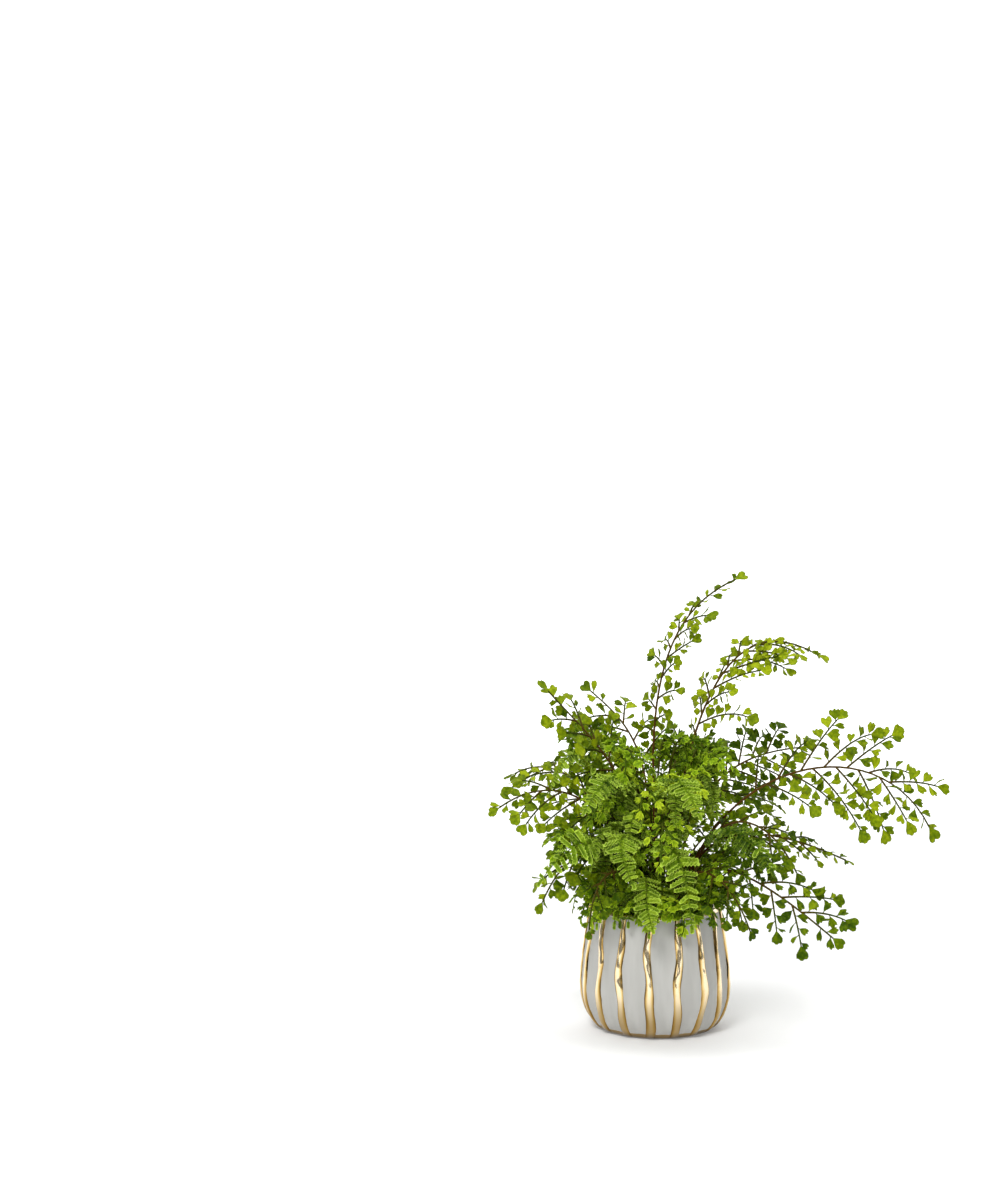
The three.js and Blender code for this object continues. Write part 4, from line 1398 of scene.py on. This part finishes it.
@dataclass(frozen=True)
class Tier:
    """One tier of young fronds round the plant's middle, all of one kind and of like size."""

    name: str
    number: int
    foot: tuple[float, float]  # how far from the pot's middle they stand, in millimetres
    reach_out: tuple[float, float]  # how far from it their tips are
    top: tuple[float, float]  # how high they arch
    tip_drop: float  # how far their tips hang under that, as a share of it
    crowding: float  # how far they draw together at the front left, in degrees, or apart if it is below 0
    seed: int
    tones: tuple[float, float]  # of its leaflets, from dark to light; the lower tiers' darker tones are painted shade in the plant's hollows

    front_left: ClassVar[float] = 120  # how far clockwise from +X the front left lies, in degrees
    low_stop: ClassVar[tuple[float, float]] = (0.3, 0.76)  # shares of the way out and of the height
    high_stop: ClassVar[tuple[float, float]] = (0.68, 1.0)

    def routes(self) -> list[tuple[Sequence[float], ...]]:
        """Draw the four points of each frond."""
        draw = random.Random(self.seed)
        routes = []
        for i in range(self.number):
            even = 360 * (i + draw.uniform(-0.35, 0.35)) / self.number
            drawn = self.crowding * math.sin(math.radians(even + self.front_left))
            turn = math.radians(even - drawn)
            foot, out, top = (draw.uniform(*limits) for limits in (self.foot, self.reach_out, self.top))
            aside = draw.uniform(-0.3, 0.3)
            stops = [(foot * math.cos(turn), foot * math.sin(turn))]
            for way, height in (self.low_stop, self.high_stop, (1.0, 1 - self.tip_drop)):
                angle, radius = turn + aside * way, foot + (out - foot) * way
                stops.append((radius * math.cos(angle), radius * math.sin(angle), top * height))
            routes.append(tuple(stops))
        return routes


class Thicket:
    """Short young fronds of both kinds, which fill the middle of the plant between the long ones."""

    # The middle and low tiers have darker tones, as painted shade in the hollows of the plant.
    spray_tiers: ClassVar[list[Tier]] = [
        Tier("crown_spray", 8, (2, 8), (40, 85), (212, 246), 0.06, -20, 74, (-0.05, 1.0)),
        Tier("upper_spray", 12, (3, 12), (45, 85), (180, 230), 0.08, 10, 71, (0.0, 1.0)),
        Tier("middle_spray", 11, (6, 18), (60, 95), (140, 180), 0.16, 25, 72, (-0.3, 0.75)),
        Tier("low_spray", 16, (16, 26), (50, 70), (108, 134), 0.15, 25, 73, (-0.3, 0.7)),
    ]
    # The low tier's darker tones are painted shade in the hollows of the plant.
    frond_tiers: ClassVar[list[Tier]] = [
        Tier("upper_frond", 13, (3, 12), (55, 92), (180, 240), 0.12, 25, 83, (0.1, 0.75)),
        Tier("middle_frond", 12, (4, 16), (58, 92), (132, 176), 0.18, 35, 81, (0.05, 0.7)),
        Tier("low_frond", 18, (14, 26), (54, 70), (108, 132), 0.2, 30, 82, (-0.1, 0.7)),
    ]

    @staticmethod
    def spray(tier: Tier, points: tuple[Sequence[float], ...], draw: random.Random) -> MaidenSpray:
        """A young maidenhair spray of a tier, along a route."""
        side, tone, leaf_length = draw.uniform(-40, 40), draw.uniform(*tier.tones), draw.uniform(7.0, 9.4)
        growing = {"branches": 5, "tone": tone, "leaf_length": leaf_length, "pitch": 4.4}
        return MaidenSpray(side, bare=0.4, reach=24, points=points, lobed=True, mottle=0.16, **growing)

    @staticmethod
    def frond(tier: Tier, points: tuple[Sequence[float], ...], draw: random.Random) -> SwordFrond:
        """A young sword-fern frond of a tier, along a route."""
        side, reach, pitch = draw.uniform(-55, 55), draw.uniform(10, 16), draw.uniform(3.8, 6.4)
        tone = draw.uniform(*tier.tones)
        return SwordFrond(side, bare=0.34, reach=reach, points=points, pitch=pitch, tone=tone)

    def build(
        self, kit: Leaflets, maiden: Sequence[bpy.types.Material], sword: Sequence[bpy.types.Material]
    ) -> None:
        """Model the young fronds.

        Args:
            kit: The kinds of leaflet.
            maiden: The materials of the maidenhair sprays.
            sword: The materials of the sword-fern fronds.
        """
        sprays = [(tier, self.spray, maiden, Slot.MAIDEN) for tier in self.spray_tiers]
        fronds = [(tier, self.frond, sword, Slot.SWORD) for tier in self.frond_tiers]
        for tier, young, materials, slot in [*sprays, *fronds]:
            for i, points in enumerate(tier.routes(), start=1):
                seed = 1000 * tier.seed + i
                growth = young(tier, points, random.Random(seed)).grown(seed, kit)
                seat(growth.piece(f"{tier.name}_{i:02d}", materials), slot)


MAIDEN_LEAF = LeafFinish(
    name="maidenhair_leaf",
    tones=((0.02, 0.056, 0.001), (0.175, 0.25, 0.002), (0.43, 0.51, 0.008)),
    edge=(0.13, 0.15, 0.004),
    glow=(0.54, 0.72, 0.01),
    veins=11,
    vein_share=0.12,
    margin_and_highlight_share=0.5,
    heart_share=0.1,
)
# Its pale edge colour is a painted highlight on the leaflets' margins.
YOUNG_LEAF = LeafFinish(
    name="young_leaf",
    tones=((0.012, 0.042, 0.001), (0.28, 0.47, 0.004), (0.74, 0.88, 0.03)),
    edge=(0.7, 0.9, 0.07),
    glow=(0.5, 0.78, 0.01),
    veins=9,
    vein_share=0.25,
    margin_and_highlight_share=0.42,
    rim_start=0.72,
    heart_share=0.35,
    through=0.21,
)
# Its pale edge colour is a painted highlight on the leaflets' margins.
SWORD_LEAF = LeafFinish(
    name="sword_fern_leaf",
    tones=((0.01, 0.034, 0.001), (0.2, 0.345, 0.005), (0.55, 0.76, 0.045)),
    edge=(0.68, 0.88, 0.13),
    glow=(0.46, 0.7, 0.01),
    veins=3,
    vein_share=0.22,
    margin_and_highlight_share=0.78,
    rim_start=0.66,
    heart_share=0.4,
    through=0.21,
)
MAIDEN_WIRE = WireFinish("maidenhair_stem", fresh=(0.035, 0.055, 0.003), ripe=(0.1, 0.038, 0.01))
YOUNG_WIRE = WireFinish("young_stem", fresh=(0.05, 0.1, 0.004), ripe=(0.075, 0.06, 0.01))
SWORD_WIRE = WireFinish("sword_fern_stem", fresh=(0.1, 0.16, 0.01), ripe=(0.08, 0.045, 0.012))


class Plant:
    """All that stands in the pot."""

    spray_seed: ClassVar[int] = 100
    frond_seed: ClassVar[int] = 200

    def __init__(self) -> None:
        """Model the kinds of leaflet, and make the fronds' finishes."""
        self.leaflets = Leaflets()
        self.maiden = [MAIDEN_LEAF.material(), MAIDEN_WIRE.material()]
        self.young = [YOUNG_LEAF.material(), YOUNG_WIRE.material()]
        self.sword = [SWORD_LEAF.material(), SWORD_WIRE.material()]

    def build(self) -> None:
        """Model every frond, and dress the soil."""
        for i, spray in enumerate(SPRAYS, start=1):
            piece = spray.grown(self.spray_seed + i, self.leaflets).piece(f"spray_{i:02d}", self.maiden)
            seat(piece, Slot.MAIDEN, f"maiden_{i:02d}")
        for i, frond in enumerate(SWORDS, start=1):
            piece = frond.grown(self.frond_seed + i, self.leaflets).piece(f"frond_{i:02d}", self.sword)
            seat(piece, Slot.SWORD, f"sword_{i:02d}")
        Thicket().build(self.leaflets, self.young, self.sword)
        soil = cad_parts["soil"]
        soil.data.materials.clear()
        soil.data.materials.append(SoilFinish().material())
        LOG.info("soil dressed")


# ---- Studio ----


@dataclass
class Softbox:
    """A large soft lamp."""

    name: str
    place: Triple
    size: tuple[float, float]
    power: float
    aim: Triple = (0.0, 0.0, 0.16)

    def build(self) -> None:
        """Hang the lamp and turn it to what it lights."""
        lamp = bpy.data.lights.new(self.name, "AREA")
        lamp.shape = "RECTANGLE"
        lamp.size, lamp.size_y = self.size
        lamp.energy = self.power
        holder = placed(self.name, lamp)
        holder.location = self.place
        holder.rotation_euler = (Vector(self.aim) - Vector(self.place)).to_track_quat("-Z", "Y").to_euler()


@dataclass
class Studio:
    """A seamless white floor and wall, soft lamps, and the camera."""

    camera_place: Triple = (-0.1282, -1.639, 0.4115)
    camera_drop: float = math.radians(2.09)
    lens: float = 60.0
    sky: float = 0.22
    half_width: float = 6.0
    near: float = -4.0
    far: float = 3.0
    wall: float = 6.0
    bend: float = 1.5  # how wide the sweep from the floor to the wall is
    bend_rows: int = 12
    softboxes: list[Softbox] = field(
        default_factory=lambda: [
            Softbox("key_softbox", (-0.75, -2.0, 2.1), (0.8, 0.8), 50),
            Softbox("top_softbox", (0.0, 0.0, 2.3), (1.4, 1.1), 32),
            Softbox("left_softbox", (-0.85, -2.4, 0.85), (1.0, 1.1), 5),
            Softbox("right_softbox", (0.85, -2.4, 0.85), (1.0, 1.1), 4.5),
        ]
    )

    def _backdrop(self) -> None:
        """A floor that sweeps up into a wall."""
        piece = Bench.begin("studio_sweep", bpy.ops.mesh.primitive_plane_add, size=1, location=(0, 0, 0))
        corners = Bench.corners(piece)
        corners[:, 0] = np.sign(corners[:, 0]) * self.half_width
        corners[:, 1] = np.where(corners[:, 1] < 0, self.near, self.far)
        Bench.move(piece, corners)
        bpy.ops.object.mode_set(mode="EDIT")
        bpy.ops.mesh.select_all(action="DESELECT")
        bpy.ops.object.mode_set(mode="OBJECT")
        for edge in piece.data.edges:
            edge.select = all(piece.data.vertices[corner].co.y > 0 for corner in edge.vertices)
        bpy.ops.object.mode_set(mode="EDIT")
        bpy.ops.mesh.select_mode(type="EDGE")
        bpy.ops.mesh.extrude_region_move(TRANSFORM_OT_translate={"value": (0, 0, self.wall)})
        bpy.ops.mesh.select_mode(type="VERT")
        bpy.ops.object.mode_set(mode="OBJECT")
        for vertex in piece.data.vertices:
            vertex.select = False
        Bench.apply(piece, "BEVEL", width=self.bend, segments=self.bend_rows, limit_method="ANGLE")
        dress(piece.data, StudioFinish().material())

    def _sky(self) -> None:
        """An even, faint light from all round, which looks white where it is seen past the sweep."""
        world = bpy.data.worlds.new("studio_air")
        world.use_nodes = True
        tree = world.node_tree
        air = tree.nodes["Background"]
        air.inputs["Color"].default_value = (1, 1, 1, 1)
        path = tree.nodes.new("ShaderNodeLightPath")
        strength = tree.nodes.new("ShaderNodeMapRange")
        strength.inputs["To Min"].default_value = self.sky
        strength.inputs["To Max"].default_value = 1.0
        tree.links.new(path.outputs["Is Camera Ray"], strength.inputs["Value"])
        tree.links.new(strength.outputs["Result"], air.inputs["Strength"])
        bpy.context.scene.world = world

    def build(self) -> None:
        """Set the studio up."""
        lens = bpy.data.cameras.new("camera")
        lens.lens = self.lens
        camera = placed("camera", lens)
        camera.location = self.camera_place
        camera.rotation_euler = (math.pi / 2 - self.camera_drop, 0, 0)
        bpy.context.scene.camera = camera
        bpy.context.scene.view_settings.view_transform = "Standard"
        self._backdrop()
        self._sky()
        for softbox in self.softboxes:
            softbox.build()
        LOG.info("studio ready")


def main() -> None:
    """Build the studio and every piece, in order."""
    logging.basicConfig(level=logging.INFO, format="%(name)s: %(message)s")
    Studio().build()
    Pot().build()
    Moss().build()
    Plant().build()


if __name__ == "__main__":
    main()
